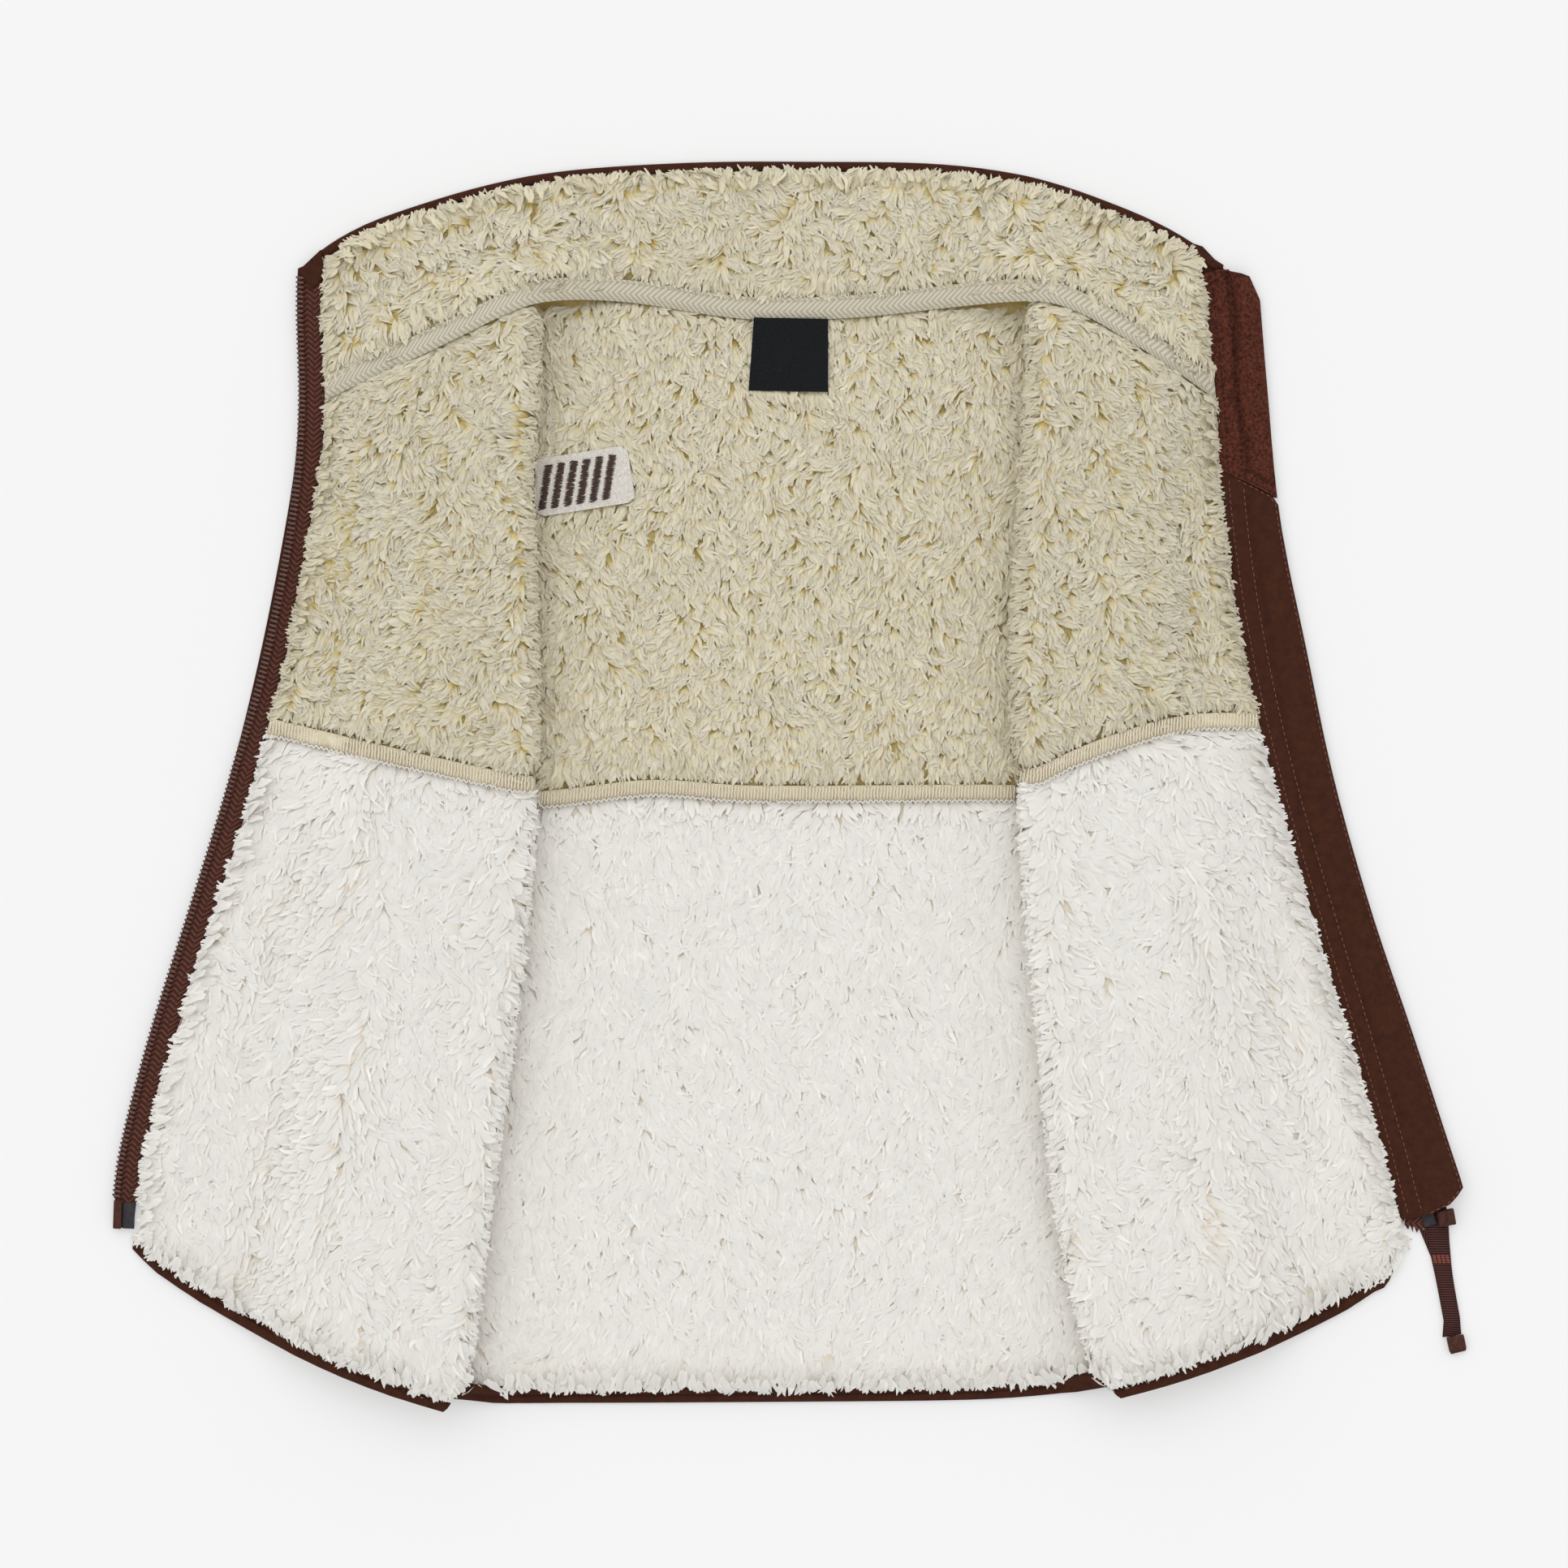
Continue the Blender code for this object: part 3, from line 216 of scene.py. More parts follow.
def wall_at(name, point, normal):
    """Thickness of a panel under a point of its face."""
    inset = 0.2 * MM
    hit = TREES[name].ray_cast(Vector(point) - Vector(normal) * inset, -Vector(normal), 20 * MM)
    return hit[3] + inset if hit[3] is not None else 3.0 * MM


def subdivided(name, keep_edges=False):
    """A smooth copy of a CAD node's mesh; a strip keeps its long edges and its corners."""
    solid = welded(name)
    bmesh.ops.join_triangles(solid, faces=solid.faces, angle_face_threshold=3.1, angle_shape_threshold=3.1,
                             cmp_seam=False, cmp_sharp=False, cmp_uvs=False, cmp_vcols=False,
                             cmp_materials=False)
    if keep_edges:
        crease = solid.edges.layers.float.new("crease_edge")
        for edge in solid.edges:
            edge[crease] = 0.9 if edge.calc_face_angle(0.0) > np.radians(50) else 0.0
    rough = bpy.data.meshes.new(name + "_rough")
    solid.to_mesh(rough)
    solid.free()
    holder = bpy.data.objects.new(name + "_rough", rough)
    bpy.context.scene.collection.objects.link(holder)
    holder.modifiers.new("subdivision", "SUBSURF").levels = 1
    graph = bpy.context.evaluated_depsgraph_get()
    mesh = bpy.data.meshes.new_from_object(holder.evaluated_get(graph))
    bpy.data.objects.remove(holder)
    bpy.data.meshes.remove(rough)
    return mesh


def ground_finish(name, deep, pale):
    """Knitted ground: a matt cloth of fine curls, deeper in tone where light doesn't reach."""
    material, tree, shader = new_finish(name, pale, 0.95)
    curls = add_node(tree, "TexNoise", {"Vector": add_node(tree, "TexCoord").outputs["Object"],
                                        "Scale": 1 / (1.613 * MM), "Detail": 6.0, "Roughness": 0.65,
                                        "Distortion": 1.2})
    shade = add_node(tree, "ValToRGB", [curls], stops=[(0.32, deep), (0.68, pale)])
    surfaced(tree, shader, shade.outputs["Color"], curls, 0.8, 0.7)
    return material


def own(piece, *nodes, slot=None):
    """A piece that rides on the garment, and the CAD nodes that it stands for, which are hidden.
    The colour slot is not used.
    """
    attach(piece, "root")
    if nodes:
        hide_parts(*nodes)
    return piece


GROUNDS = {"beige": ground_finish("sherpa_ground_beige", "C8AE68", "D8C68C"),
           "ivory": ground_finish("sherpa_ground_ivory", "EADFCC", "F0E8DB")}

carried = {panel: [] for panel in FLEECE}
for panel, colour in FLEECE.items():
    ground_mesh = subdivided(panel)
    for vert in ground_mesh.vertices:
        facing = vert.normal.copy()
        if facing.z > SEEN_FROM:
            base = TREES[panel].find_nearest(vert.co)[0]
            vert.co = base - facing * min(PILE_DEPTH[colour] * MM, 0.5 * wall_at(panel, base, facing))
    ground_mesh.name = panel + "_ground"
    ground = add_object(panel + "_ground", ground_mesh, GROUNDS[colour])
    own(ground, panel, slot="fleece_" + colour)

# ------------------------------------------------------------------ fleece pile
# Curled locks a few millimetres wide lie over each other like scales, root deep and tip out.
# On the back they hang down towards the hem; on the fronts and collar they swirl, and along every
# edge they reach out over the trims.
LOCK_ROWS = 6
LOCK_COLUMNS = 3
ROOT_SHARE = 0.4
TIP_SHARE = 0.6
EDGE_BELT = 6.0

# What a lock of each colour is like, in millimetres: its size and how unevenly it stands; clumps
# of locks that lie one way, and how far they sink between clumps, which also sets the painted shade
# there; and along the edges, how strongly locks turn outwards and how much finer they are. Each
# ends in a few strands that stand off it.
LOCKS = {
    "beige": {"length": 9.5, "width": 3.9, "spacing": 3.15, "depth": 1.5, "uneven": 0.14, "puff": 0.8,
              "clump": 9.0, "sunk": 0.5, "freedom": 0.35, "outward": 1.1, "finer": 0.72,
              "strands": 4, "fringe": 5, "strand_width": 1.25, "stand_off": 0.38, "wave": 0.4, "roll": 0.45},
    "ivory": {"length": 11.0, "width": 5.4, "spacing": 3.4, "depth": 0.8, "uneven": 0.03, "puff": 0.3,
              "clump": 12.0, "sunk": 0.08, "freedom": 0.15, "outward": 0.75, "finer": 0.55,
              "strands": 2, "fringe": 4, "strand_width": 1.5, "stand_off": 0.1, "wave": 0.3, "roll": 0.05}}

# How the pile of each panel lies: heading in degrees, how far it swirls, over what distance, and
# how much lighter than the others it looks.
LIE = {"back_yoke": (-92, 0.6, 20.0, 0.0), "back_lower": (-92, 0.45, 26.0, 0.3),
       "left_front_yoke": (-100, 1.2, 16.0, -0.6), "left_front_lower": (-98, 0.8, 24.0, 0.1),
       "right_front_yoke": (-80, 1.2, 16.0, -0.8), "right_front_lower": (-82, 0.8, 24.0, 0.2),
       "collar": (-88, 1.3, 15.0, -0.2)}

# How far, from and to in millimetres, the tips may pass the edge of a panel over what lies there.
HEMS = ("hem_band_back", "left_hem_band", "right_hem_band")
REACH = {"else": (-0.5, 1.2), None: (-2.0, -0.6), "neck_tape": (-0.4, 3.2), "embroidery_patch": (-0.6, 1.4),
         "neck_label": (-0.6, 1.4), "collar_binding": (0.4, 3.0), "left_zip_tape": (0.4, 2.8),
         "left_coil": (-1.0, 0.0), "placket_upper": (0.5, 2.4), "placket_lower": (0.5, 2.2),
         "hem_band_back": (-3.0, 2.0), "left_hem_band": (-3.4, 2.8), "right_hem_band": (-3.4, 2.8),
         "left_seam_band": (-0.2, 1.0), "back_seam_band": (-0.2, 1.0), "right_seam_band": (-0.2, 1.0),
         "back_yoke": (2.0, 4.5), "back_lower": (2.0, 4.5)}
CORNER_FROM = 234.0
CORNER_REACH = (4.5, 7.0)
OPEN_REACH = (5.0, 7.5)
FOOT_REACH = (1.5, 3.5)


def unit(vectors):
    """Directions of length one."""
    return vectors / (np.linalg.norm(vectors, axis=-1, keepdims=True) + 1e-15)


def at_height(plan, height=0.0):
    """Places or directions on the floor, with a height added."""
    return np.concatenate([plan, np.broadcast_to(height, plan.shape[:-1])[..., None]], axis=-1)


def waviness(points, size_mm):
    """Smooth unevenness at each point, from -1 to 1; its waves are about size_mm long."""
    waves = [noise.noise(Vector(point) / (size_mm * MM)) for point in np.reshape(points, (-1, 3))]
    return np.reshape(waves, np.shape(points)[:-1])


def add_grids(name, grids, material, closed=False, values=None):
    """One mesh of many equal grids of points; each has the UV square, and closed ones are tubes."""
    if closed:
        grids = np.concatenate([grids, grids[:, :, :1]], axis=2)
    count, rows, columns = grids.shape[:3]
    mesh = bpy.data.meshes.new(name)
    mesh.vertices.add(count * rows * columns)
    mesh.vertices.foreach_set("co", grids.astype(np.float32).ravel())
    i, j = np.meshgrid(np.arange(rows - 1), np.arange(columns - 1), indexing="ij")
    corner = (i * columns + j).ravel()
    quads = np.stack([corner, corner + columns, corner + columns + 1, corner + 1], axis=1)
    loops = (np.arange(count)[:, None, None] * rows * columns + quads[None]).reshape(-1)
    mesh.loops.add(len(loops))
    mesh.loops.foreach_set("vertex_index", loops.astype(np.int32))
    mesh.polygons.add(len(loops) // 4)
    mesh.polygons.foreach_set("loop_start", np.arange(0, len(loops), 4, dtype=np.int32))
    u, v = np.tile(np.linspace(0, 1, columns), rows), np.repeat(np.linspace(0, 1, rows), columns)
    square = np.stack([u, v], axis=1)
    layer = mesh.uv_layers.new(name="UVMap")
    layer.uv.foreach_set("vector", np.tile(square[quads.ravel()], (count, 1)).astype(np.float32).ravel())
    for key, each in (values or {}).items():
        attribute = mesh.attributes.new(key, "FLOAT", "POINT")
        attribute.data.foreach_set("value", np.repeat(each, rows * columns).astype(np.float32))
    mesh.update()
    mesh.validate()
    return add_object(name, mesh, material)


def spread(name, cell, rng):
    """Points about a cell apart over the part of a panel's face that shows, with their normals."""
    points, triangles = SOLIDS[name]
    a, b, c = (points[triangles[:, k]] for k in range(3))
    cross = np.cross(b - a, c - a)
    vert_normals = np.zeros_like(points)
    for k in range(3):
        np.add.at(vert_normals, triangles[:, k], cross)
    vert_normals = unit(vert_normals)
    shown = np.linalg.norm(cross, axis=1) / 2 * (unit(cross)[:, 2] > -0.45)
    wanted = int(shown.sum() / cell ** 2 * 6)
    chosen = rng.choice(len(shown), wanted, p=shown / shown.sum())
    u, v = rng.random((2, wanted, 1))
    flip = u + v > 1
    u, v = np.where(flip, 1 - u, u), np.where(flip, 1 - v, v)
    places = a[chosen] + u * (b - a)[chosen] + v * (c - a)[chosen]
    corners = [vert_normals[triangles[chosen, k]] for k in range(3)]
    smooth = unit(corners[0] * (1 - u - v) + corners[1] * u + corners[2] * v)
    kept, cells = [], {}
    for index, place in enumerate(places):
        key = tuple((place // cell).astype(int))
        near = [other for dx in (-1, 0, 1) for dy in (-1, 0, 1) for dz in (-1, 0, 1)
                for other in cells.get((key[0] + dx, key[1] + dy, key[2] + dz), ())]
        if near and np.min(np.linalg.norm(places[near] - place, axis=1)) < cell * 0.82:
            continue
        if smooth[index, 2] < 0.3 and place[2] < 6 * MM or not open_above(place, smooth[index]):
            continue
        cells.setdefault(key, []).append(index)
        kept.append(index)
    return places[kept], smooth[kept]


def lock_grids(lay, point, rng, columns=LOCK_COLUMNS, wave=0.0, roll=0.0):
    """Points of every lock: a leaf that rises from its root, bows across and narrows to its tip."""
    places, normals, flows = (lay[key][:, None, None] for key in ("places", "normals", "flows"))
    length, width, bend = (lay[key][:, None, None] for key in ("length", "width", "bend"))
    rise, depth = (lay[key][:, None, None] for key in ("rise", "depth"))
    count = len(places)
    t = np.linspace(0, 1, LOCK_ROWS)[None, :, None]
    s = np.linspace(-1, 1, columns)[None, None, :]
    t = t * (1 - 0.16 * rng.random((count, 1, columns)) * np.abs(s))
    angle = bend * t
    run = length * (t * (1 - angle ** 2 / 6) - ROOT_SHARE)
    sway = length * t * angle / 2 * (1 - angle ** 2 / 12)
    sway = sway + wave * MM * np.sin(2 * np.pi * (1.3 * t + rng.random((count, 1, 1))))
    root = 0.3 + 0.7 * np.sin(np.clip(t / 0.4, 0, 1) * np.pi / 2)
    tip = np.clip(1 - np.clip((t - 0.42) / 0.6, 0, 1) ** 2, 0.004, 1) ** point[:, None, None]
    half = width / 2 * root * tip
    lifted = np.sin(np.clip(t / 0.55, 0, 1) * np.pi / 2)
    curl = np.clip((t - 0.8) / 0.2, 0, 1) ** 2
    height = -depth * (1 - lifted) + (rise + 0.35 * MM * t) * lifted - 0.45 * MM * curl
    height = height - 0.24 * half * np.abs(s) ** 2.2 + half * s * rng.normal(0, roll + 1e-9, (count, 1, 1))
    along = run - half * s * np.sin(angle)
    across = sway + half * s * np.cos(angle)
    points = (places + along[..., None] * flows + across[..., None] * np.cross(normals, flows)
              + height[..., None] * normals)
    points[..., 2] = np.maximum(points[..., 2], 0.3 * MM)
    return points


def draws(panel, owner):
    """True if the pile of a panel lies out over a neighbour, and doesn't slip beneath it."""
    if owner in FLEECE:
        return "front" in panel and owner.startswith("back")
    if owner == "neck_tape":
        return panel == "collar"
    if owner is not None and owner.endswith("seam_band"):
        return "yoke" in panel
    return owner not in ("neck_label", "embroidery_patch") or "front" in panel


def drawn_out(panel, places, normals, flows, pull):
    """Turns the pile near an edge outwards; also tells which locks stand near one."""
    turns = np.linspace(0, 2 * np.pi, 12, endpoint=False)
    around = np.column_stack([np.cos(turns), np.sin(turns)])
    near = np.zeros(len(places), bool)
    flows = flows.copy()
    for k, place in enumerate(places):
        out = np.zeros(2)
        for way in around:
            owner, _ = top_at(*(place[:2] + way * EDGE_BELT * MM))
            if owner != panel:
                near[k] = True
                out += way * draws(panel, owner)
        size = np.linalg.norm(out)
        if size > 0.5:
            flows[k, :2] = 0.5 * flows[k, :2] + pull * out / size
    flows -= (flows * normals).sum(axis=1, keepdims=True) * normals
    return unit(flows), near


def reach_over(owner, x):
    """Least and greatest length, in millimetres, that tips stand over a neighbour."""
    if owner == "right_hem_band" and x > CORNER_FROM * MM:
        return CORNER_REACH
    if owner is None and abs(x) > CORNER_FROM * MM:
        return OPEN_REACH if x > 0 else FOOT_REACH
    return REACH.get(owner, REACH["else"])


def reined_in(panel, lay, rng):
    """Locks drawn back where their tips pass the panel's edge by more than the trim there allows."""
    places, flows, length, bend = (lay[key] for key in ("places", "flows", "length", "bend"))
    shift, over = np.zeros(len(places)), np.zeros(len(places), bool)
    for k, place in enumerate(places):
        side = np.array([-flows[k, 1], flows[k, 0], 0.0])
        way = flows[k] * (1 - bend[k] ** 2 / 6) + side * bend[k] / 2
        owner, _ = top_at(*(place + way * TIP_SHARE * length[k])[:2])
        if owner == panel or not draws(panel, owner):
            continue
        inside, outside = 0.0, TIP_SHARE
        for _ in range(5):
            middle = (inside + outside) / 2
            if top_at(*(place + way * middle * length[k])[:2])[0] == panel:
                inside = middle
            else:
                outside = middle
        low, high = reach_over(owner, place[0])
        clump = 0.5 + 1.1 * waviness((place[0], place[1], 0.0), 4.0)
        allowed = (low + (high - low) * np.clip(0.8 * clump + 0.25 * rng.random(), 0, 1)) * MM
        shift[k] = max((TIP_SHARE - outside) * length[k] - allowed, 0.0)
        over[k] = True
    return places - flows * shift[:, None], over


def settled(grids, panel, near, over):
    """Locks near a trim hang down on top of it by their tips, or stay beneath it."""
    ceiling = grids[:, :LOCK_ROWS // 2, :, 2].max(axis=(1, 2)) + 0.5 * MM
    grids[over, :, :, 2] = np.minimum(grids[over, :, :, 2], ceiling[over, None, None])
    for k in np.flatnonzero(near):
        for row in range(LOCK_ROWS):
            owner, height = top_at(*grids[k, row, :, :2].mean(axis=0))
            if owner is None or owner == panel or owner in FLEECE:
                continue
            if not draws(panel, owner):
                grids[k, row, :, 2] = np.minimum(grids[k, row, :, 2], height - 1.3 * MM)
            elif row >= LOCK_ROWS // 2:
                resting = height + 0.35 * MM
                hanging = 1.0 - 0.13 * row if owner in HEMS else 1.0
                grids[k, row, :, 2] = resting + hanging * np.maximum(grids[k, row, :, 2] - resting, 0.0)
    return grids


def pile_finish(name, stops, edge_shade, sheen, strand_contrast, relief_mm, through):
    """Pile of fine polyester: matt and pale at its tips, golden towards its roots and at the sides of
    each lock as painted warm shade, streaked by its fibres; a little light comes through it."""
    material, tree, shader = new_finish(name, stops[-1][1], 0.88, Sheen_Weight=sheen, Sheen_Roughness=0.5)
    split = add_node(tree, "SeparateXYZ", [add_node(tree, "UVMap")]).outputs
    tone = add_node(tree, "Attribute", attribute_name="tone").outputs["Fac"]
    deep = add_node(tree, "Attribute", attribute_name="deep").outputs["Fac"]
    # Towards the root the colour turns golden, which is painted warm shade; the deep attribute sets how much
    # of it a lock gets.
    past_middle = add_node(tree, "Math", [split["Y"], 0.6], operation="SUBTRACT")
    height = add_node(tree, "Math", [past_middle, deep, 0.6], operation="MULTIPLY_ADD")
    own_place = add_node(tree, "Math", [tone, 97.0], operation="MULTIPLY")
    streak_place = add_node(tree, "CombineXYZ", [
        add_node(tree, "Math", [split["X"], 13.0, own_place], operation="MULTIPLY_ADD"),
        add_node(tree, "Math", [split["Y"], 1.6], operation="MULTIPLY")])
    streaks = add_node(tree, "TexNoise", {"Vector": streak_place, "Scale": 1.0, "Detail": 3.0,
                                          "Roughness": 0.6})
    uneven = add_node(tree, "Math", [streaks, 0.5, -0.25], operation="MULTIPLY_ADD")
    depth = add_node(tree, "Math", [height, uneven], operation="ADD")
    shade = add_node(tree, "ValToRGB", [depth], stops=stops)
    # Each lock darkens towards its sides: painted shade where one lock overlaps the next.
    off_centre = add_node(tree, "Math", [split["X"], 2.0, -1.0], operation="MULTIPLY_ADD")
    edge = add_node(tree, "Math", [add_node(tree, "Math", [off_centre], operation="ABSOLUTE"), 4.0],
                    operation="POWER")
    edge_shade_share = add_node(tree, "Math", [edge, 0.3], operation="MULTIPLY")
    shade = add_node(tree, "Mix", {0: edge_shade_share, 6: shade, 7: edge_shade}, data_type="RGBA").outputs[2]
    strands = add_node(tree, "Math", [streaks, strand_contrast, 1.0 - strand_contrast / 2],
                       operation="MULTIPLY_ADD")
    toned = add_node(tree, "Math", [tone, 0.06, 0.97], operation="MULTIPLY_ADD")
    value = add_node(tree, "Math", [strands, toned], operation="MULTIPLY")
    colour = add_node(tree, "HueSaturation", {"Color": shade, "Value": value}).outputs["Color"]
    surfaced(tree, shader, colour, streaks, relief_mm, 0.8)
    behind = add_node(tree, "BsdfTranslucent", {"Color": colour})
    both = add_node(tree, "MixShader", [through, shader, behind])
    tree.links.new(both.outputs[0], tree.nodes["Material Output"].inputs["Surface"])
    return material


# The first stops of each pile are the painted warm shade at its roots; the colour after the stops is the
# painted shade at the sides of each lock.
PILES = {"beige": pile_finish("sherpa_pile_beige", [(0.0, "D0B768"), (0.22, "DFCE99"), (0.5, "E8DFC2"),
                                                    (1.0, "ECE6D3")], "D9CA9C", 0.15, 0.26, 0.3, 0.03),
         "ivory": pile_finish("sherpa_pile_ivory", [(0.0, "E8D9C2"), (0.12, "F0E9DC"), (0.35, "F4F1EB"),
                                                    (1.0, "F6F4EF")], "F2EBDF", 0.3, 0.05, 0.08, 0.14)}


def laid_locks(number, panel, lock, rng):
    """Where every lock of a panel stands, which way it flows, and its sizes; and which pass an edge."""
    heading, swirl, scale, lightness = LIE[panel]
    places, normals = spread(panel, lock["spacing"] * MM, rng)
    count = len(places)
    clumps = [noise.voronoi(Vector((x, y, 0.004 * number)) / (lock["clump"] * MM)) for x, y, _ in places]
    middles = np.array([points[0][:2] for _, points in clumps]) * lock["clump"] * MM
    between = np.exp(-(np.array([apart[1] - apart[0] for apart, _ in clumps]) / 0.16) ** 2)
    turn = waviness(at_height(0.3 * places[:, :2] + 0.7 * middles, 7.3 * number * scale * MM), scale)
    angle = (np.radians(heading) + 2.2 * swirl * turn + lock["freedom"] * waviness(at_height(middles), 0.9)
             + rng.normal(0, 0.13, count))
    flows = at_height(np.column_stack([np.cos(angle), np.sin(angle)]) + 1.8 * normals[:, :2])
    flows, near = drawn_out(panel, places, normals, flows, lock["outward"])
    puff = waviness(at_height(places[:, :2], 3.1 * number * 28 * MM), 28)
    walls = np.array([wall_at(panel, place, normal) for place, normal in zip(places, normals)])
    lay = {"places": places, "normals": normals, "flows": flows,
           "length": lock["length"] * MM * rng.uniform(0.75, 1.25, count),
           "width": lock["width"] * MM * rng.uniform(0.6, 1.3, count),
           "rise": MM * (0.1 + lock["puff"] * puff - lock["sunk"] * between
                         + rng.normal(0, lock["uneven"], count)),
           "depth": np.minimum(lock["depth"] * MM, 0.6 * walls),
           "bend": (1.6 * np.roll(turn, 1) + rng.normal(0, 0.4, count)) * np.where(near, 0.5, 1.0),
           "near": near}
    lay["places"], lay["over"] = reined_in(panel, lay, rng)
    lay["width"][near] *= lock["finer"]
    # Between clumps the locks get painted shade: a darker tone and more of the golden root shade. Near an
    # edge, where the roots show, they get little of it.
    lay["tone"] = rng.random(count) + lightness - 0.5 * lock["sunk"] * between
    lay["deep"] = np.where(near, 0.25, 1.0 + 1.6 * lock["sunk"] * between)
    return lay


def strands_of(lay, lock, rng):
    """The fine strands that each lock ends in, side by side across it."""
    shares = np.where(lay["near"], lock["fringe"], lock["strands"])
    count = shares.sum()
    rank = np.arange(count) - np.repeat(np.cumsum(shares) - shares, shares)
    offset = -0.8 + 1.6 * rank / (np.repeat(shares, shares) - 1) + rng.normal(0, 0.15, count)
    lay = {key: np.repeat(value, shares, axis=0) for key, value in lay.items()}
    side = np.cross(lay["normals"], lay["flows"])
    ahead = rng.uniform(-0.05, 0.12, count) * lay["length"]
    lay["places"] += side * (offset * lay["width"] / 2)[:, None] + lay["flows"] * ahead[:, None]
    fan = np.where(lay["near"], 0.12, 0.25) * offset + rng.normal(0, 0.14, count)
    lay["flows"] = unit(lay["flows"] + side * fan[:, None])
    lay["length"] *= rng.uniform(0.7, np.where(lay["near"], 0.98, 1.08))
    lay["width"] = lock["strand_width"] * MM * rng.uniform(0.7, 1.35, count)
    lay["bend"] += rng.normal(0, 0.3, count)
    lay["rise"] += lock["stand_off"] * MM * rng.uniform(0.3, 1.2, count)
    return lay


for number, (panel, colour) in enumerate(FLEECE.items()):
    rng = np.random.default_rng(71 + number)
    lock = LOCKS[colour]
    lay = laid_locks(number, panel, lock, rng)
    grids = settled(lock_grids(lay, np.where(lay["over"], 0.95, 0.6), rng), panel, lay["near"], lay["over"])
    leaves = add_grids(panel + "_pile", grids, PILES[colour],
                       values={"tone": lay["tone"], "deep": lay["deep"]})
    lay = strands_of(lay, lock, rng)
    grids = lock_grids(lay, np.full(len(lay["places"]), 0.8), rng, columns=2, wave=lock["wave"],
                       roll=lock["roll"])
    grids = settled(grids, panel, lay["near"], lay["over"])
    wisps = add_grids(panel + "_strands", grids, PILES[colour],
                      values={"tone": lay["tone"] + rng.normal(0, 0.5, len(grids)), "deep": lay["deep"]})
    carried[panel] += [own(piece, slot="fleece_" + colour) for piece in (leaves, wisps)]

# ------------------------------------------------------------------ yoke seam bands
# The seam allowances between yoke and lower panels, overlocked together with beige thread: loops
# cross the band side by side, and a white looper thread runs in waves along its lower edge.
LOOP_PITCH = 1.3
LOOP_RADIUS = 0.34
LOOP_HEIGHT = 0.15
LOOP_ARCH = 0.22
CHAIN_PITCH = 2.1
CHAIN_RADIUS = 0.38
CHAIN_HEIGHT = 1.3
CHAIN_SWING = (0.3, -0.8)
STEEPEST_SPAN = 1.6


def stations_of(name, axis, count, inset_mm=0.2):
    """Evenly spaced places along an axis, from one end of a strip to the other."""
    points = SOLIDS[name][0][:, axis]
    return np.linspace(points.min() + inset_mm * MM, points.max() - inset_mm * MM, count)


def rails(name, axis, stations):
    """The two sides of a strip seen from above, read off its solid at stations along an axis."""
    points, triangles = SOLIDS[name]
    edges = np.concatenate([triangles[:, [0, 1]], triangles[:, [1, 2]], triangles[:, [2, 0]]])
    start, end = points[edges[:, 0]], points[edges[:, 1]]
    low, high = [], []
    for station in stations:
        crossing = (start[:, axis] - station) * (end[:, axis] - station) <= 0
        a, b = start[crossing], end[crossing]
        share = (station - a[:, axis]) / np.where(np.abs(b - a)[:, axis] < 1e-12, 1e-12, (b - a)[:, axis])
        sideways = a[:, 1 - axis] + np.clip(share, 0, 1) * (b - a)[:, 1 - axis]
        for ends, value in ((low, sideways.min()), (high, sideways.max())):
            ends.append((station, value) if axis == 0 else (value, station))
    return np.array(low), np.array(high)


def run_along(line):
    """Length from the start of a line to each of its points."""
    return np.concatenate([[0.0], np.cumsum(np.linalg.norm(np.diff(line, axis=0), axis=1))])


def paced(line, step_mm, start_mm=0.0):
    """Points a step apart along a line, and the line's direction at each."""
    run = run_along(line)
    at = np.arange(start_mm * MM, run[-1], step_mm * MM)
    places, ahead, behind = (np.stack([np.interp(at + shift * MM, run, line[:, k]) for k in range(2)], axis=1)
                             for shift in (0.0, 0.5, -0.5))
    return places, unit(ahead - behind)


def draped(plan, trees, above_mm=0.0, fallback=0.0):
    """Plan points let down from above onto the first of the surfaces that they meet."""
    heights = []
    for x, y in plan.reshape(-1, 2):
        hits = [tree.ray_cast(Vector((x, y, ABOVE_ALL)), DOWN)[0] for tree in trees]
        heights.append(max((hit.z for hit in hits if hit is not None), default=fallback))
    return at_height(plan, np.reshape(heights, plan.shape[:-1]) + above_mm * MM)


def tubes(paths, radius_mm, reference, sides=6, taper=True):
    """Grids of points round many equal paths; reference is a direction across each path's plane."""
    way = unit(np.gradient(paths, axis=1))
    across = unit(reference[:, None, :] - (reference[:, None, :] * way).sum(2, keepdims=True) * way)
    out = np.cross(way, across)
    thick = np.full(paths.shape[1], radius_mm * MM)
    if taper:
        thick[[0, -1]] *= 0.25
    turn = np.linspace(0, 2 * np.pi, sides, endpoint=False)
    ring = np.cos(turn)[:, None] * across[:, :, None] + np.sin(turn)[:, None] * out[:, :, None]
    return paths[:, :, None] + thick[None, :, None, None] * ring


def threads_of(name, paths, radius_mm, reference, finish, slot, **shape):
    """A piece of many like threads, each a thin tube along its own path."""
    grids = tubes(paths, radius_mm, reference, **shape)
    return own(add_grids(name, grids, finish, closed=True), slot=slot)


def thread_finish(name, colour, dark):
    """Twisted sewing thread of polyester: a soft gloss, slanting plies, painted shade between them."""
    material, tree, shader = new_finish(name, colour, 0.6, Sheen_Weight=0.1, Sheen_Tint=srgb(colour),
                                        Specular_IOR_Level=0.2)
    split = add_node(tree, "SeparateXYZ", [add_node(tree, "UVMap")]).outputs
    slant = add_node(tree, "Math", [split["Y"], 3.0, split["X"]], operation="MULTIPLY_ADD")
    plies = add_node(tree, "Math", [slant, 0.25], operation="PINGPONG")
    shade = add_node(tree, "Mix", {0: add_node(tree, "Math", [plies, 4.0], operation="MULTIPLY"),
                                   6: dark, 7: colour}, data_type="RGBA").outputs[2]
    surfaced(tree, shader, shade, plies, 0.12, 0.8)
    return material


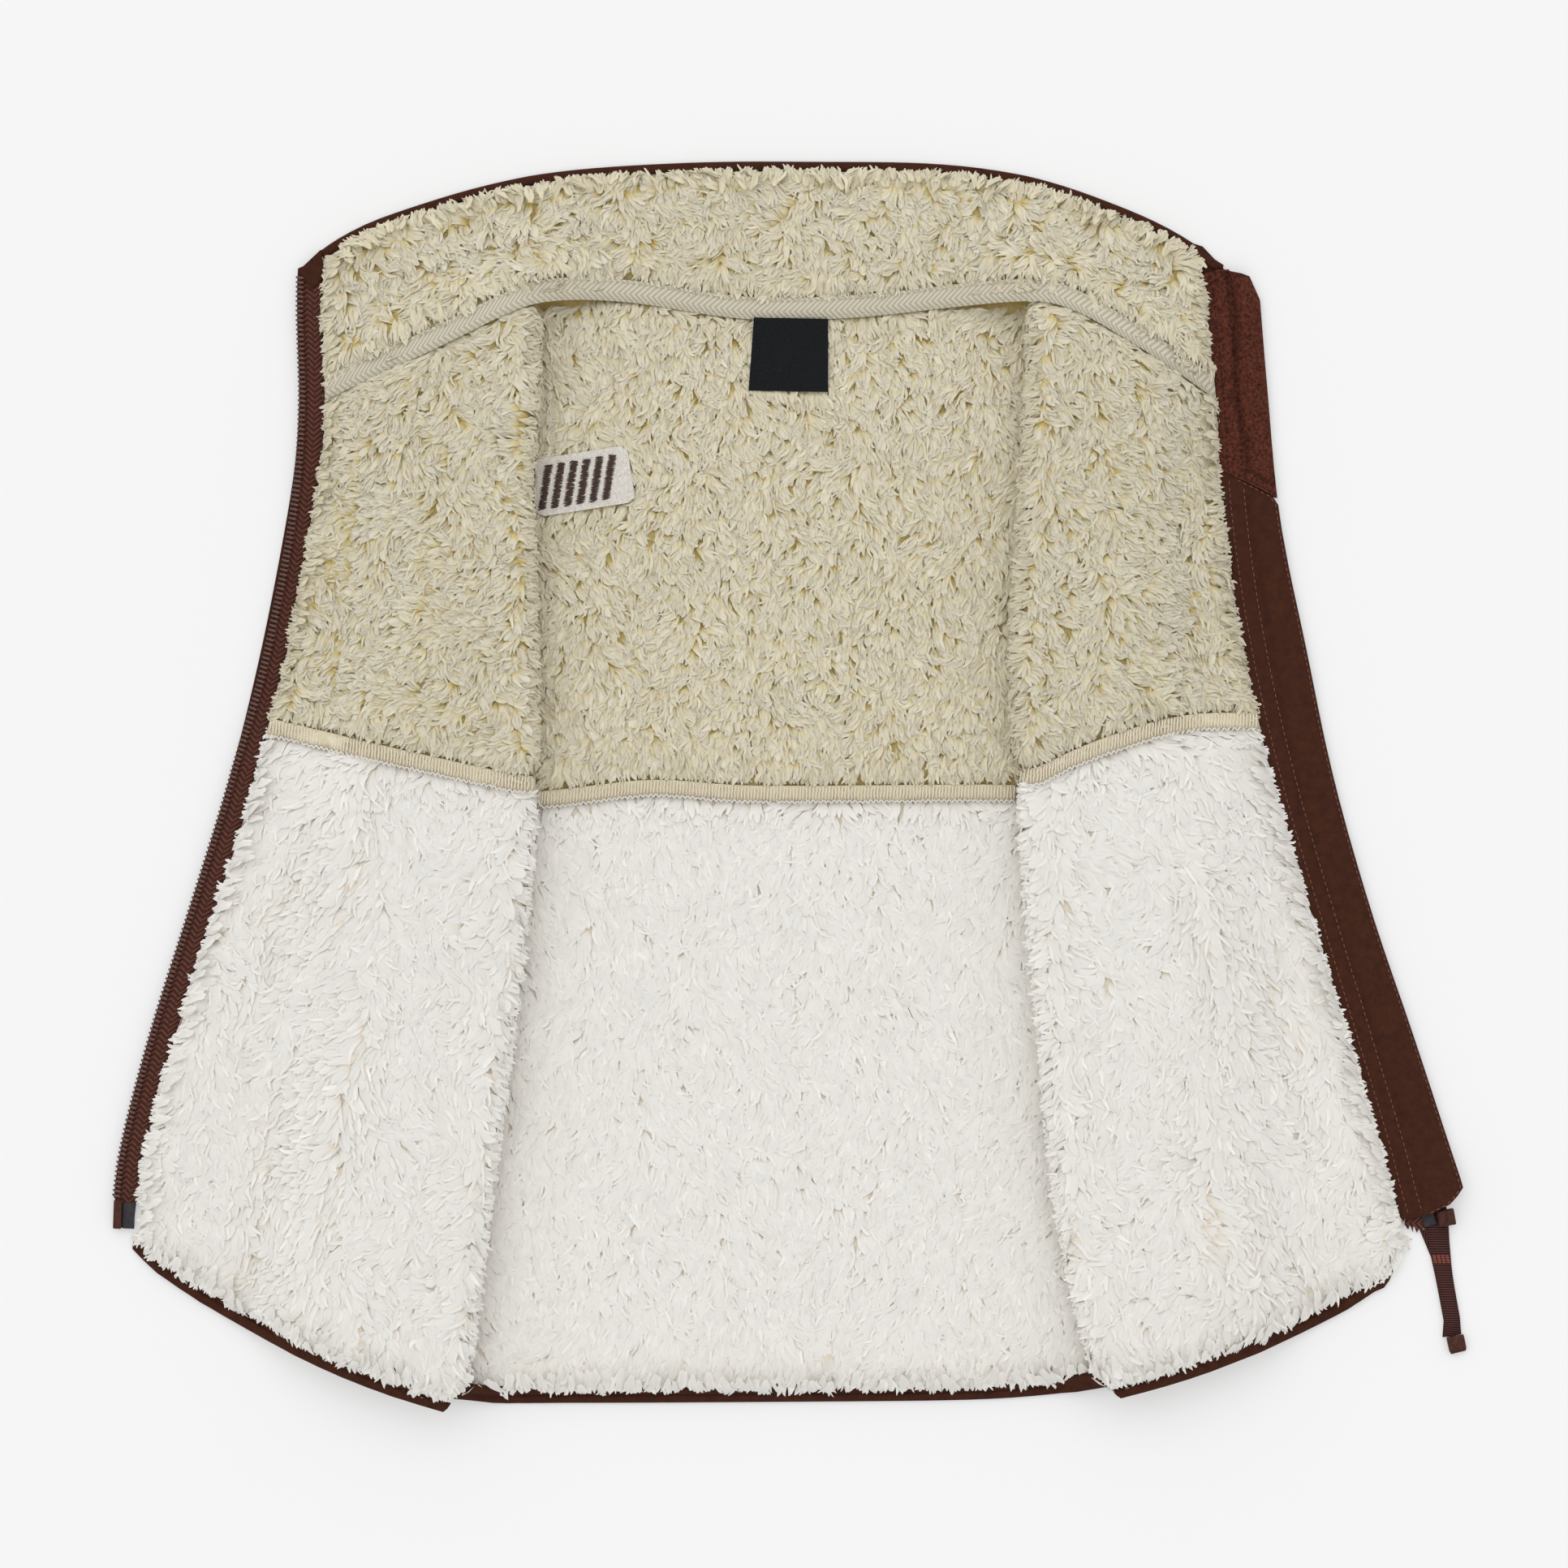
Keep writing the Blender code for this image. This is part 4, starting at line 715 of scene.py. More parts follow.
def lay_uvs(mesh, at_points):
    """The UVs of a mesh, from a pair of numbers at each of its points."""
    loops = np.zeros(len(mesh.loops), int)
    mesh.loops.foreach_get("vertex_index", loops)
    layer = mesh.uv_layers.new(name="UVMap")
    layer.uv.foreach_set("vector", at_points[loops].astype(np.float32).ravel())


def dressed(name, material, axis, uneven_mm, wave_mm=12.0, grow_mm=(0.0, 0.0), lap_mm=(0.0, 0.0)):
    """A smooth copy of a strip's solid, grown at its ends and lapped at its sides; also its length."""
    mesh = subdivided(name, keep_edges=True)
    stations = stations_of(name, axis, 60)
    low, high = rails(name, axis, stations)
    middle = (low + high) / 2
    run = run_along(middle)
    points = np.zeros(len(mesh.vertices) * 3)
    mesh.vertices.foreach_get("co", points)
    points = points.reshape(-1, 3)
    along = np.interp(points[:, axis], stations, run)
    slope = np.interp(points[:, axis], stations, np.gradient(middle[:, 1 - axis], stations))
    offset = points[:, 1 - axis] - np.interp(points[:, axis], stations, middle[:, 1 - axis])
    offset *= np.cos(np.arctan(slope))
    stretch = (along / run[-1] * (grow_mm[0] + grow_mm[1]) - grow_mm[0]) * MM
    points[:, axis] += stretch
    points[:, 1 - axis] += np.where(offset < 0, -lap_mm[0], lap_mm[1]) * MM
    points[:, 1 - axis] += slope * stretch
    points[:, 2] = np.maximum(points[:, 2] + uneven_mm * MM * waviness(points, wave_mm), 0.0)
    mesh.vertices.foreach_set("co", points.ravel())
    for layer in list(mesh.uv_layers):
        mesh.uv_layers.remove(layer)
    lay_uvs(mesh, np.column_stack([along, offset]))
    return add_object(name + "_cloth", mesh, material), run[-1]


def ribs(tree, across, pitch_mm):
    """The rise and fall of ribs or threads a pitch apart, from -1 to 1."""
    phase = add_node(tree, "Math", [across, 2 * np.pi / (pitch_mm * MM)], operation="MULTIPLY")
    return add_node(tree, "Math", [phase], operation="SINE")


def weave_finish(name, colour, dark, roughness, thread_mm, nap_share=0.0, sheen=0.25, mottle_mm=3.333):
    """Plain woven polyester: matt, with fine warp and weft, slightly mottled, and darker in a crease as
    painted shade. Brushed cloth has a soft nap that hides the weave."""
    material, tree, shader = new_finish(name, colour, roughness, Sheen_Weight=sheen, Sheen_Roughness=0.4,
                                        Sheen_Tint=srgb(colour), Specular_IOR_Level=0.12)
    coords = add_node(tree, "TexCoord").outputs["Object"]
    split = add_node(tree, "SeparateXYZ", [coords]).outputs
    threads = [ribs(tree, split[axis], thread_mm) for axis in ("X", "Y")]
    weave = add_node(tree, "Math", threads, operation="MULTIPLY")
    mottle = add_node(tree, "TexNoise", {"Vector": coords, "Scale": 1 / (mottle_mm * MM), "Detail": 3.0,
                                         "Roughness": 0.6})
    nap = add_node(tree, "TexNoise", {"Vector": coords, "Scale": 1 / (1.111 * MM), "Detail": 3.0})
    shade = add_node(tree, "ValToRGB", [mottle], stops=[(0.3, dark), (0.7, colour)])
    # The crease attribute darkens the cloth: painted shade in the crease.
    crease = add_node(tree, "Attribute", attribute_name="crease").outputs["Fac"]
    painted_crease_shade = add_node(tree, "Math", [crease, -0.38, 1.0], operation="MULTIPLY_ADD")
    flecked = add_node(tree, "Math", [nap, 0.3, 0.85], operation="MULTIPLY_ADD")
    value = add_node(tree, "Math", [painted_crease_shade, flecked], operation="MULTIPLY")
    toned = add_node(tree, "HueSaturation", {"Color": shade, "Value": value}).outputs["Color"]
    nap_relief = add_node(tree, "Math", [nap, 0.4 + nap_share], operation="MULTIPLY")
    relief = add_node(tree, "Math", [weave, 0.5 * (1 - nap_share), nap_relief], operation="MULTIPLY_ADD")
    surfaced(tree, shader, toned, relief, 0.12, 0.6)
    return material


OVERLOCK = thread_finish("overlock_thread_beige", "F2EADA", "D8CCB0")
LOOPER = thread_finish("looper_thread_white", "FAF8F4", "DDD6CB")
ALLOWANCE = weave_finish("overlocked_edge", "E4DAC1", "C9BE9D", 0.9, 0.9, 0.6)
for band, upper, lower in (("left_seam_band", "left_front_yoke", "left_front_lower"),
                           ("back_seam_band", "back_yoke", "back_lower"),
                           ("right_seam_band", "right_front_yoke", "right_front_lower")):
    rng = np.random.default_rng(len(band))
    cloth, _ = dressed(band, ALLOWANCE, 0, 0.12, 6.0)
    own(cloth, band, slot="overlock_beige")
    stations = stations_of(band, 0, 80)
    low, high = rails(band, 0, stations)

    feet, way = paced(low, LOOP_PITCH)
    start, end = (np.interp(feet[:, 0] + 0.5 * MM, stations, side[:, 1]) for side in (low, high))
    plan = np.stack([np.stack([feet[:, 0] + 0.5 * share * MM + rng.normal(0, 0.12 * MM, len(feet)),
                               start + share * (end - start)], axis=1)
                     for share in np.linspace(0.04, 0.97, 7)], axis=1)
    over = draped(plan, [TREES[band]], LOOP_HEIGHT)
    over[:, 1:-1, 2] += LOOP_ARCH * MM
    kept = (np.ptp(over[:, :, 2], axis=1) < 3.0 * MM) & (over[:, :, 2].min(axis=1) > 1.0 * MM)
    loops = threads_of(band + "_loops", over[kept], LOOP_RADIUS, at_height(way)[kept], OVERLOCK,
                       "overlock_beige")

    links, _ = paced(low, CHAIN_PITCH / 2)
    swing = np.where(np.arange(len(links)) % 2 == 0, *CHAIN_SWING) * MM
    links[:, 1] += swing + rng.normal(0, 0.14 * MM, len(links))
    chain = draped(links, [TREES[band], TREES[lower]], CHAIN_HEIGHT)
    spans = np.stack([chain[:-1] + share * (chain[1:] - chain[:-1]) for share in (0.0, 0.3, 0.7, 1.0)],
                     axis=1)
    spans = spans[np.ptp(spans[:, :, 2], axis=1) < STEEPEST_SPAN * MM]
    spans[:, 1:3, 2] += 0.2 * MM
    upright = np.tile([0.0, 0.0, 1.0], (len(spans), 1))
    looped = threads_of(band + "_chain", spans, CHAIN_RADIUS, upright, LOOPER, "overlock_beige", taper=False)
    carried[upper] += [cloth, loops, looped]

# ------------------------------------------------------------------ neck tape
# Cream herringbone cotton twill, 9 mm wide, laid over the neck seam from zip to zip and stitched
# down along both edges; its chevrons point along the tape.
TAPE_STITCH = 3.0


def herringbone_finish(name, colour, dark, rib_mm, column_mm, roughness=0.9):
    """Herringbone twill: matt, with slanting ribs that turn at each column and painted shade in the
    furrows between them. The ribs are coarser than the real ones, which would vanish in the picture."""
    material, tree, shader = new_finish(name, colour, roughness, Specular_IOR_Level=0.15)
    split = add_node(tree, "SeparateXYZ", [add_node(tree, "UVMap")]).outputs
    shifted = add_node(tree, "Math", [split["Y"], 1.0], operation="ADD")
    zigzag = add_node(tree, "Math", [shifted, column_mm * MM], operation="PINGPONG")
    slant = add_node(tree, "Math", [split["X"], zigzag], operation="ADD")
    rise = add_node(tree, "Math", [ribs(tree, slant, rib_mm), 0.5, 0.5], operation="MULTIPLY_ADD")
    shade = add_node(tree, "Mix", {0: add_node(tree, "Math", [rise, 0.8, 0.1], operation="MULTIPLY_ADD"),
                                   6: dark, 7: colour}, data_type="RGBA").outputs[2]
    surfaced(tree, shader, shade, rise, 0.25, 0.8)
    return material


def surface_of(piece):
    """The search tree of a piece of cloth, on which threads are let down."""
    mesh = piece.data
    return BVHTree.FromPolygons([vert.co[:] for vert in mesh.vertices],
                                [face.vertices[:] for face in mesh.polygons])


def stitch_row(name, line, cloth, pitch, length, radius, thread, slot, above=0.15):
    """A row of sewn stitches, each a short arched thread let down onto the cloth."""
    centres, way = paced(line, pitch, pitch / 2)
    plan = centres[:, None] + np.linspace(-0.5, 0.5, 5)[None, :, None] * way[:, None] * length * MM
    paths = draped(plan, [surface_of(cloth)], above)
    paths[:, [0, -1], 2] -= 0.25 * MM
    side = at_height(np.column_stack([-way[:, 1], way[:, 0]]))
    return threads_of(name, paths, radius, side, thread, slot)


TWILL = herringbone_finish("herringbone_twill_cream", "DCD6C6", "AFA78E", 2.3, 4.4)
TWILL_THREAD = thread_finish("tape_thread_cream", "DDD6C4", "B7AC92")
neck_tape, length = dressed("neck_tape", TWILL, 0, 0.35, 14.0)
own(neck_tape, "neck_tape", slot="twill_cream")
low, high = rails("neck_tape", 0, stations_of("neck_tape", 0, 140, 1.5))
edge_rows = [stitch_row("neck_tape_stitches_" + side, inner + 0.13 * (outer - inner), neck_tape, TAPE_STITCH,
                        2.3, 0.22, TWILL_THREAD, "twill_cream")
             for side, inner, outer in (("lower", low, high), ("upper", high, low))]

# ------------------------------------------------------------------ bindings
# Dark brown plain-woven cloth folded round the raw edges: a narrow one on the collar, and wider
# hem bands whose upper fold lies over the fleece under the ends of the pile.
WOVEN = weave_finish("woven_brown", "492719", "3A1F15", 0.78, 0.5)
HEM_FOLD = (0.2, 0.7, 1.6, 2.9, 4.4, 7.5)
HEM_THICKNESS = 0.7
CORNER_CUT = 4.5


def cloth_patch(corners, rows, columns, base, thickness, bulge, radius=0.0):
    """Top and bottom points of a small cloth between four corners in millimetres, gently uneven."""
    a, b, c, d = (np.array(corner) for corner in corners)
    v, u = np.meshgrid(np.linspace(0, 1, rows), np.linspace(0, 1, columns), indexing="ij")
    if radius:
        near_end = np.clip(1 - np.minimum(v, 1 - v) * np.linalg.norm(d - a) / radius, 0, 1)
        inset = radius * (1 - np.sqrt(1 - near_end ** 2)) / np.linalg.norm(b - a)
        u = inset + u * (1 - 2 * inset)
    v, u = v[..., None], u[..., None]
    plan = ((1 - v) * ((1 - u) * a + u * b) + v * ((1 - u) * d + u * c)) * MM
    waves = waviness(at_height(plan, base * 11 * MM), 11)
    top = at_height(plan, (base + thickness) * MM + bulge * MM * waves)
    return top, top - [0.0, 0.0, thickness * MM]


def closed_sheet(name, top, under, material):
    """A closed cloth from its upper and lower grids, with UVs in metres."""
    rows, columns = top.shape[:2]
    count = rows * columns
    faces = []
    for i in range(rows - 1):
        for j in range(columns - 1):
            k = i * columns + j
            faces.append((k, k + columns, k + columns + 1, k + 1))
            faces.append((count + k, count + k + 1, count + k + columns + 1, count + k + columns))
    ring = (list(range(columns)) + [i * columns + columns - 1 for i in range(1, rows)]
            + [(rows - 1) * columns + j for j in range(columns - 2, -1, -1)]
            + [i * columns for i in range(rows - 2, 0, -1)])
    faces += [(a, b, b + count, a + count) for a, b in zip(ring, ring[1:] + ring[:1])]
    points = np.concatenate([top.reshape(-1, 3), under.reshape(-1, 3)])
    piece = add_mesh(name, points, faces, material)
    lay_uvs(piece.data, points[:, :2])
    piece.data.set_sharp_from_angle(angle=np.radians(60))
    return piece


def fold_over(band, edge):
    """Rings of points round the part of a hem band that lies on top of the fleece."""
    way = np.gradient(edge, axis=0)
    inward = np.column_stack([-way[:, 1], way[:, 0]])
    inward = unit(inward * np.sign(inward[:, 1:2]))
    share = np.array(HEM_FOLD) * MM
    plan = edge[:, None] + share[None, :, None] * inward[:, None]
    top = draped(plan, [TREES[panel] for panel in FLEECE] + [TREES[band]], fallback=1.0 * MM)
    kernel = np.array([1, 2, 3, 4, 3, 2, 1]) / 16
    for row in range(len(share)):
        top[:, row, 2] = np.convolve(np.pad(top[:, row, 2], 3, mode="edge"), kernel, mode="valid")
    top[..., 2] = np.maximum.accumulate(top[..., 2], axis=1) - np.linspace(0.0, 0.9, len(share)) * MM
    top[:, 0, 2] = np.maximum(top[:, 1, 2] - 0.9 * MM, 0.8 * MM)
    top[..., 2] = np.maximum(top[..., 2] + 0.3 * MM * waviness(top, 7.0), 0.75 * MM)
    return np.concatenate([top, top[:, ::-1] - [0.0, 0.0, HEM_THICKNESS * MM]], axis=1)


for band, panel in (("hem_band_back", "back_lower"), ("left_hem_band", "left_front_lower"),
                    ("right_hem_band", "right_front_lower")):
    at_corner = band == "right_hem_band"
    cloth, _ = dressed(band, WOVEN, 0, 0.2, 8.0, grow_mm=(0.0, -CORNER_CUT if at_corner else 0.0))
    own(cloth, band, slot="woven_brown")
    stations = stations_of(band, 0, 60, 1.5)
    stations = stations[stations < stations[-1] - 7.0 * MM] if at_corner else stations
    edge, _ = rails(band, 0, stations)
    fold = own(add_grids(band + "_fold", fold_over(band, edge)[None], WOVEN, closed=True), slot="woven_brown")
    carried[panel] += [cloth, fold]

collar_binding, _ = dressed("collar_binding", WOVEN, 0, 0.2, 9.0, lap_mm=(1.0, 0.0))
carried["collar"].append(own(collar_binding, "collar_binding", slot="woven_brown"))

# The binding turns down behind the flap at one end, and is folded over the zip at the other.
TAIL = [(162.8, 217.8), (166.6, 216.6), (178.5, 204.0), (166.6, 203.6)]
FOLDED_END = [(-196.3, 206.8), (-187.4, 215.2), (-185.6, 205.0), (-191.4, 199.0)]
for end, corners, base in (("tail", TAIL, 0.3), ("folded_end", FOLDED_END, 2.3)):
    top, under = cloth_patch(corners, 9, 7, base, 0.8, 0.4)
    turned = own(closed_sheet("collar_binding_" + end, top, under, WOVEN), slot="woven_brown")
    carried["collar"].append(turned)

# ------------------------------------------------------------------ left zip half
# Half of a separating coil zip on the left edge: woven facing under it, twill tape, a coil of
# moulded loops along the outer edge, and at its foot the insertion pin on a stiffening film.
COIL_PITCH = 1.9
COIL_RADIUS = 0.5
COIL_SINK = 0.1

# Section of one coil loop: across the coil from the tape edge to the head, and height, in mm.
COIL_LOOP = [(1.35, 0.25), (1.15, 0.95), (0.55, 1.35), (-0.35, 1.5), (-1.05, 1.3), (-1.42, 0.85),
             (-1.2, 0.4), (-0.6, 0.2)]
FILM_FOLD = [(-270.0, -166.4), (-261.6, -166.4), (-262.8, -177.6), (-269.2, -177.6)]

TAPE_WEAVE = herringbone_finish("zip_tape_brown", "6E4337", "2F1915", 2.2, 2.6, 0.85)
BROWN_THREAD = thread_finish("sewing_thread_brown", "5E3A31", "38211C")

# Moulded acetal: a low gloss, with a faint mottle where the plastic flowed.
MOULDED, tree, shader = new_finish("moulded_brown", "48291F", 0.4, Specular_IOR_Level=0.15)
flow = add_node(tree, "TexNoise", {"Vector": add_node(tree, "TexCoord").outputs["Object"],
                                   "Scale": 1 / (1.4286 * MM), "Detail": 3.0})
shade = add_node(tree, "ValToRGB", [flow], stops=[(0.35, "3D221B"), (0.7, "532F25")])
surfaced(tree, shader, shade.outputs["Color"], flow, 0.05, 0.5)

# Nylon coil: glossy, with a painted highlight on the crown of each loop and painted shade towards its ends.
COIL, tree, shader = new_finish("coil_nylon_brown_painted_highlight", "54403A", 0.32)
split = add_node(tree, "SeparateXYZ", [add_node(tree, "UVMap")]).outputs
shade = add_node(tree, "ValToRGB", [split["Y"]], stops=[(0.0, "2A1714"), (0.5, "6E4A40"), (1.0, "241412")])
tree.links.new(shade.outputs["Color"], shader.inputs["Base Color"])

# Stiffening film of polyester: dark and smooth, with a slight haze.
FILM, tree, shader = new_finish("reinforcing_film", "2E2A30", 0.3, Specular_IOR_Level=0.2)
haze = add_node(tree, "TexNoise", {"Vector": add_node(tree, "TexCoord").outputs["Object"],
                                   "Scale": 1 / (3.846 * MM), "Detail": 4.0})
shade = add_node(tree, "ValToRGB", [haze], stops=[(0.3, "262228"), (0.7, "3A353B")])
tree.links.new(shade.outputs["Color"], shader.inputs["Base Color"])


def coil_loops(side, outward):
    """Loops of one coil, a pitch apart and each leaning a little along the zip. The pitch is wider
    than the real 1.6 mm, so that the loops show in the picture."""
    name = side + "_coil"
    low, high = rails(name, 1, stations_of(name, 1, 120))
    places, way = paced(((low + high) / 2)[::-1], COIL_PITCH)
    across = np.column_stack([way[:, 1], -way[:, 0]]) * outward
    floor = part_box(name)[0].z - COIL_SINK * MM
    paths = []
    for k, (offset, height) in enumerate(COIL_LOOP):
        lean = (k / (len(COIL_LOOP) - 1) - 0.5) * 0.5
        paths.append(at_height(places - across * offset * MM + way * lean * MM, floor + height * MM))
    loops = tubes(np.stack(paths, axis=1), COIL_RADIUS, at_height(way), sides=5, taper=False)
    return own(add_grids(name + "_loops", loops, COIL, closed=True), name, slot="zip_brown")


left_facing, length = dressed("left_zip_facing", WOVEN, 1, 0.1)
own(left_facing, "left_zip_facing", slot="woven_brown")
left_tape, length = dressed("left_zip_tape", TAPE_WEAVE, 1, 0.1, grow_mm=(1.6, 0.0), lap_mm=(0.0, 1.0))
own(left_tape, "left_zip_tape", slot="zip_brown")
left_coil = coil_loops("left", -1)
low, high = rails("left_zip_tape", 1, stations_of("left_zip_tape", 1, 120, 1.0))
tape_stitches = stitch_row("left_tape_stitches", low + 0.62 * (high - low), left_tape, 2.8, 2.1, 0.2,
                           BROWN_THREAD, "zip_brown")
top, under = cloth_patch(FILM_FOLD, 5, 5, 0.3, 0.6, 0.0)
own(closed_sheet("film_folded_under", top, under, FILM), slot="zip_brown")

# The hard pieces of the zip and the ribbon keep the shape of their solids.
for node_name, finish in (("insertion_pin", MOULDED), ("end_film_left", FILM), ("end_film_right", FILM),
                          ("slider", MOULDED), ("retainer_box", MOULDED), ("ribbon_cap", MOULDED)):
    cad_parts[node_name].data.materials.clear()
    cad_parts[node_name].data.materials.append(finish)

# ------------------------------------------------------------------ right zip half and wind flap
# The right zip half lies hidden under the wind flap, a double strip of woven cloth: brushed and
# redder above the slanting join, smooth and darker below, with rows of edge stitching. The zip
# beneath it presses one long soft crease into the upper part.
BRUSHED = weave_finish("brushed_woven_brown", "673729", "2C1510", 0.92, 0.5, 0.8, 0.15, 1.25)
CREASE_AT = 10.0
FLAP_ROWS = 90
FLAP_COLUMNS = 25
FLAP_THICKNESS = 1.2
FLAP_TUCK = 0.6
LAP = 0.8

# Finish and depth of the crease of each part of the flap, its slot, and its thread. Its stitch rows
# lie so far in from the zip's side, or from the free side where that is told.
# The upper part's thread is painted darker than the lower's, as shade where its stitches sink into the
# brushed nap.
FLAPS = {"placket_upper": (BRUSHED, 1.5, "brushed_brown",
                           thread_finish("flap_thread_painted_shade", "3A1D18", "2A1512"), (3.5, 9.2), None),
         "placket_lower": (WOVEN, 0.3, "woven_brown",
                           thread_finish("flap_thread_light", "8E6053", "64392F"), (3.5, 9.2), 1.2)}

right_tape, right_length = dressed("right_zip_tape", TAPE_WEAVE, 1, 0.1)
own(right_tape, "right_zip_tape", slot="zip_brown")
right_coil = coil_loops("right", 1)


def flap_cloth(name, material, crease_mm):
    """A flap part laid out as a fine grid on its solid, with its crease and small waves."""
    low, high = rails(name, 1, stations_of(name, 1, FLAP_ROWS)[::-1])
    low = low - np.array([LAP * MM, 0.0])
    plan = low[:, None] + np.linspace(0.0, 1.0, FLAP_COLUMNS)[None, :, None] * (high - low)[:, None]
    inset = plan + (plan.mean(axis=1, keepdims=True) - plan) * 0.04
    top = draped(inset, [TREES[name]], fallback=3.0 * MM)
    top[..., :2] = plan
    offset = np.linalg.norm(plan - low[:, None], axis=2) / MM
    run = np.linspace(0.0, 1.0, len(plan))[:, None]
    valley = np.exp(-((offset - CREASE_AT - 1.2 * np.sin(9 * run)) / 1.5) ** 2)
    swell = np.exp(-((offset - CREASE_AT - 4.6) / 2.6) ** 2)
    top[..., 2] += crease_mm * MM * (0.7 * swell - valley) * np.clip(1.15 - run, 0.3, 1.0)
    top[..., 2] += 0.35 * MM * waviness(top, 16)
    edge = np.minimum(offset, offset[:, -1:] - offset)
    top[..., 2] -= 0.5 * MM * np.exp(-(edge / 0.6) ** 2)
    top = np.concatenate([top[:1] + [0.0, FLAP_TUCK * MM, -0.7 * MM], top])
    under = at_height(top[..., :2], np.maximum(top[..., 2] - FLAP_THICKNESS * MM, 0.2 * MM))
    cloth = own(closed_sheet(name + "_cloth", top, under, material), name)
    # The crease valley, scaled by its depth, becomes the mask of painted shade in the crease.
    painted_crease_shade = np.concatenate([valley[:1], valley]) * np.clip(crease_mm, 0.0, 1.0)
    attribute = cloth.data.attributes.new("crease", "FLOAT", "POINT")
    attribute.data.foreach_set("value", np.tile(painted_crease_shade.ravel(), 2).astype(np.float32))
    return cloth, low, high


for part, (finish, crease, slot, thread, from_zip, from_free) in FLAPS.items():
    cloth, low, high = flap_cloth(part, finish, crease)
    lines = [low + [inset * MM, 0.0] for inset in from_zip]
    lines += [high - [from_free * MM, 0.0]] if from_free else []
    for number, line in enumerate(lines):
        inside = (high[:, 0] - line[:, 0] > 1.0 * MM) & (line[:, 0] - low[:, 0] > 1.0 * MM)
        stitch_row("%s_stitches_%d" % (part, number), line[inside], cloth, 2.6, 1.7, 0.21, thread,
                               "woven_brown", above=0.22)

# The frayed foot of the zip tape shows below the flap.
FOOT_LEFT = (247.5, -172.8)
FOOT_RIGHT = (255.6, -171.8)
FOOT_HEIGHT = 1.9
FOOT_ENDS = 17
fray = np.random.default_rng(11).uniform(-1.4, 1.4, (1, FOOT_ENDS))
across = np.linspace(0.0, 1.0, FOOT_ENDS)[None, :]
down = np.linspace(0.0, 1.0, 6)[:, None]
fall = (5.0 + 2.2 * across + fray) * down
top = np.stack([FOOT_LEFT[0] + across * (FOOT_RIGHT[0] - FOOT_LEFT[0]) + 0.15 * fall,
                FOOT_LEFT[1] + across * (FOOT_RIGHT[1] - FOOT_LEFT[1]) - fall,
                np.full(fall.shape, FOOT_HEIGHT) - 0.6 * down], axis=2) * MM
under = top - [0.0, 0.0, 0.6 * MM]
frayed_foot = own(closed_sheet("right_tape_frayed_foot", top, under, TAPE_WEAVE), slot="zip_brown")

# ------------------------------------------------------------------ puller ribbon
# Grosgrain ribbon folded through the slider: crosswise ribs a millimetre apart, bar-tacked just
# under the slider with redder thread, its end closed by a moulded cap.
RIB_PITCH = 0.95
TACK_HEIGHTS = (-188.9, -189.55, -190.2, -190.85, -191.5)
UNDER_FOLD = [(253.9, -178.6), (258.6, -177.8), (260.6, -190.0), (258.3, -189.2)]

# Grosgrain of polyester: matt, with painted shade in the furrows between its ribs.
GROSGRAIN, tree, shader = new_finish("grosgrain_ribbon", "462A27", 0.7, Specular_IOR_Level=0.12)
split = add_node(tree, "SeparateXYZ", [add_node(tree, "UVMap")]).outputs
rise = add_node(tree, "Math", [ribs(tree, split["X"], RIB_PITCH), 0.5, 0.5], operation="MULTIPLY_ADD")
shade = add_node(tree, "Mix", {0: rise, 6: "2A1716", 7: "623E3A"}, data_type="RGBA").outputs[2]
surfaced(tree, shader, shade, rise, 0.4, 1.0)
TACK_THREAD = thread_finish("bar_tack_thread", "96584A", "6B372C")

ribbon, _ = dressed("pull_ribbon", GROSGRAIN, 1, 0.05, grow_mm=(0.7, 0.7))
own(ribbon, "pull_ribbon", slot="ribbon_brown")
for number, height in enumerate(TACK_HEIGHTS):
    low, high = rails("pull_ribbon", 1, [height * MM])
    bar = np.concatenate([low + [0.6 * MM, 0.0], high - [0.6 * MM, 0.0]])
    stitch_row("ribbon_tack_%d" % number, bar, ribbon, 1.7, 1.6, 0.36, TACK_THREAD,
                            "ribbon_brown", above=0.2)
top, under = cloth_patch(UNDER_FOLD, 7, 4, 0.1, 0.5, 0.1)
own(closed_sheet("ribbon_under_fold", top, under, GROSGRAIN), slot="ribbon_brown")
low, high = rails("pull_ribbon", 1, stations_of("pull_ribbon", 1, 24, 1.2)[::-1])

# ------------------------------------------------------------------ neck label
# A bare black woven label, 30 by 28 mm, whose upper edge is caught under the neck tape. Satin
# ribs run across it, and its sides are heat cut.
LABEL_CORNERS = [(-13.6, 187.6), (16.2, 187.0), (16.2, 157.8), (-15.7, 158.3)]
LABEL_RIB = 0.5

# Woven polyester satin: nearly black, a faint mottle over fine ribs.
SATIN_BLACK, tree, shader = new_finish("woven_label_black", "1B1E1F", 0.6, Specular_IOR_Level=0.1)
coords = add_node(tree, "TexCoord").outputs["Object"]
split = add_node(tree, "SeparateXYZ", [coords]).outputs
mottle = add_node(tree, "TexNoise", {"Vector": coords, "Scale": 1 / (0.6667 * MM), "Detail": 3.0})
shade = add_node(tree, "ValToRGB", [mottle], stops=[(0.3, "0E1011"), (0.75, "1B1F20")])
relief = add_node(tree, "Math", [ribs(tree, split["Y"], LABEL_RIB), 0.4, mottle], operation="MULTIPLY_ADD")
surfaced(tree, shader, shade.outputs["Color"], relief, 0.1, 0.7)
top, under = cloth_patch(LABEL_CORNERS, 15, 16, 7.3, 0.8, 0.5)
label = own(closed_sheet("neck_label_cloth", top, under, SATIN_BLACK), "neck_label", slot="label_black")

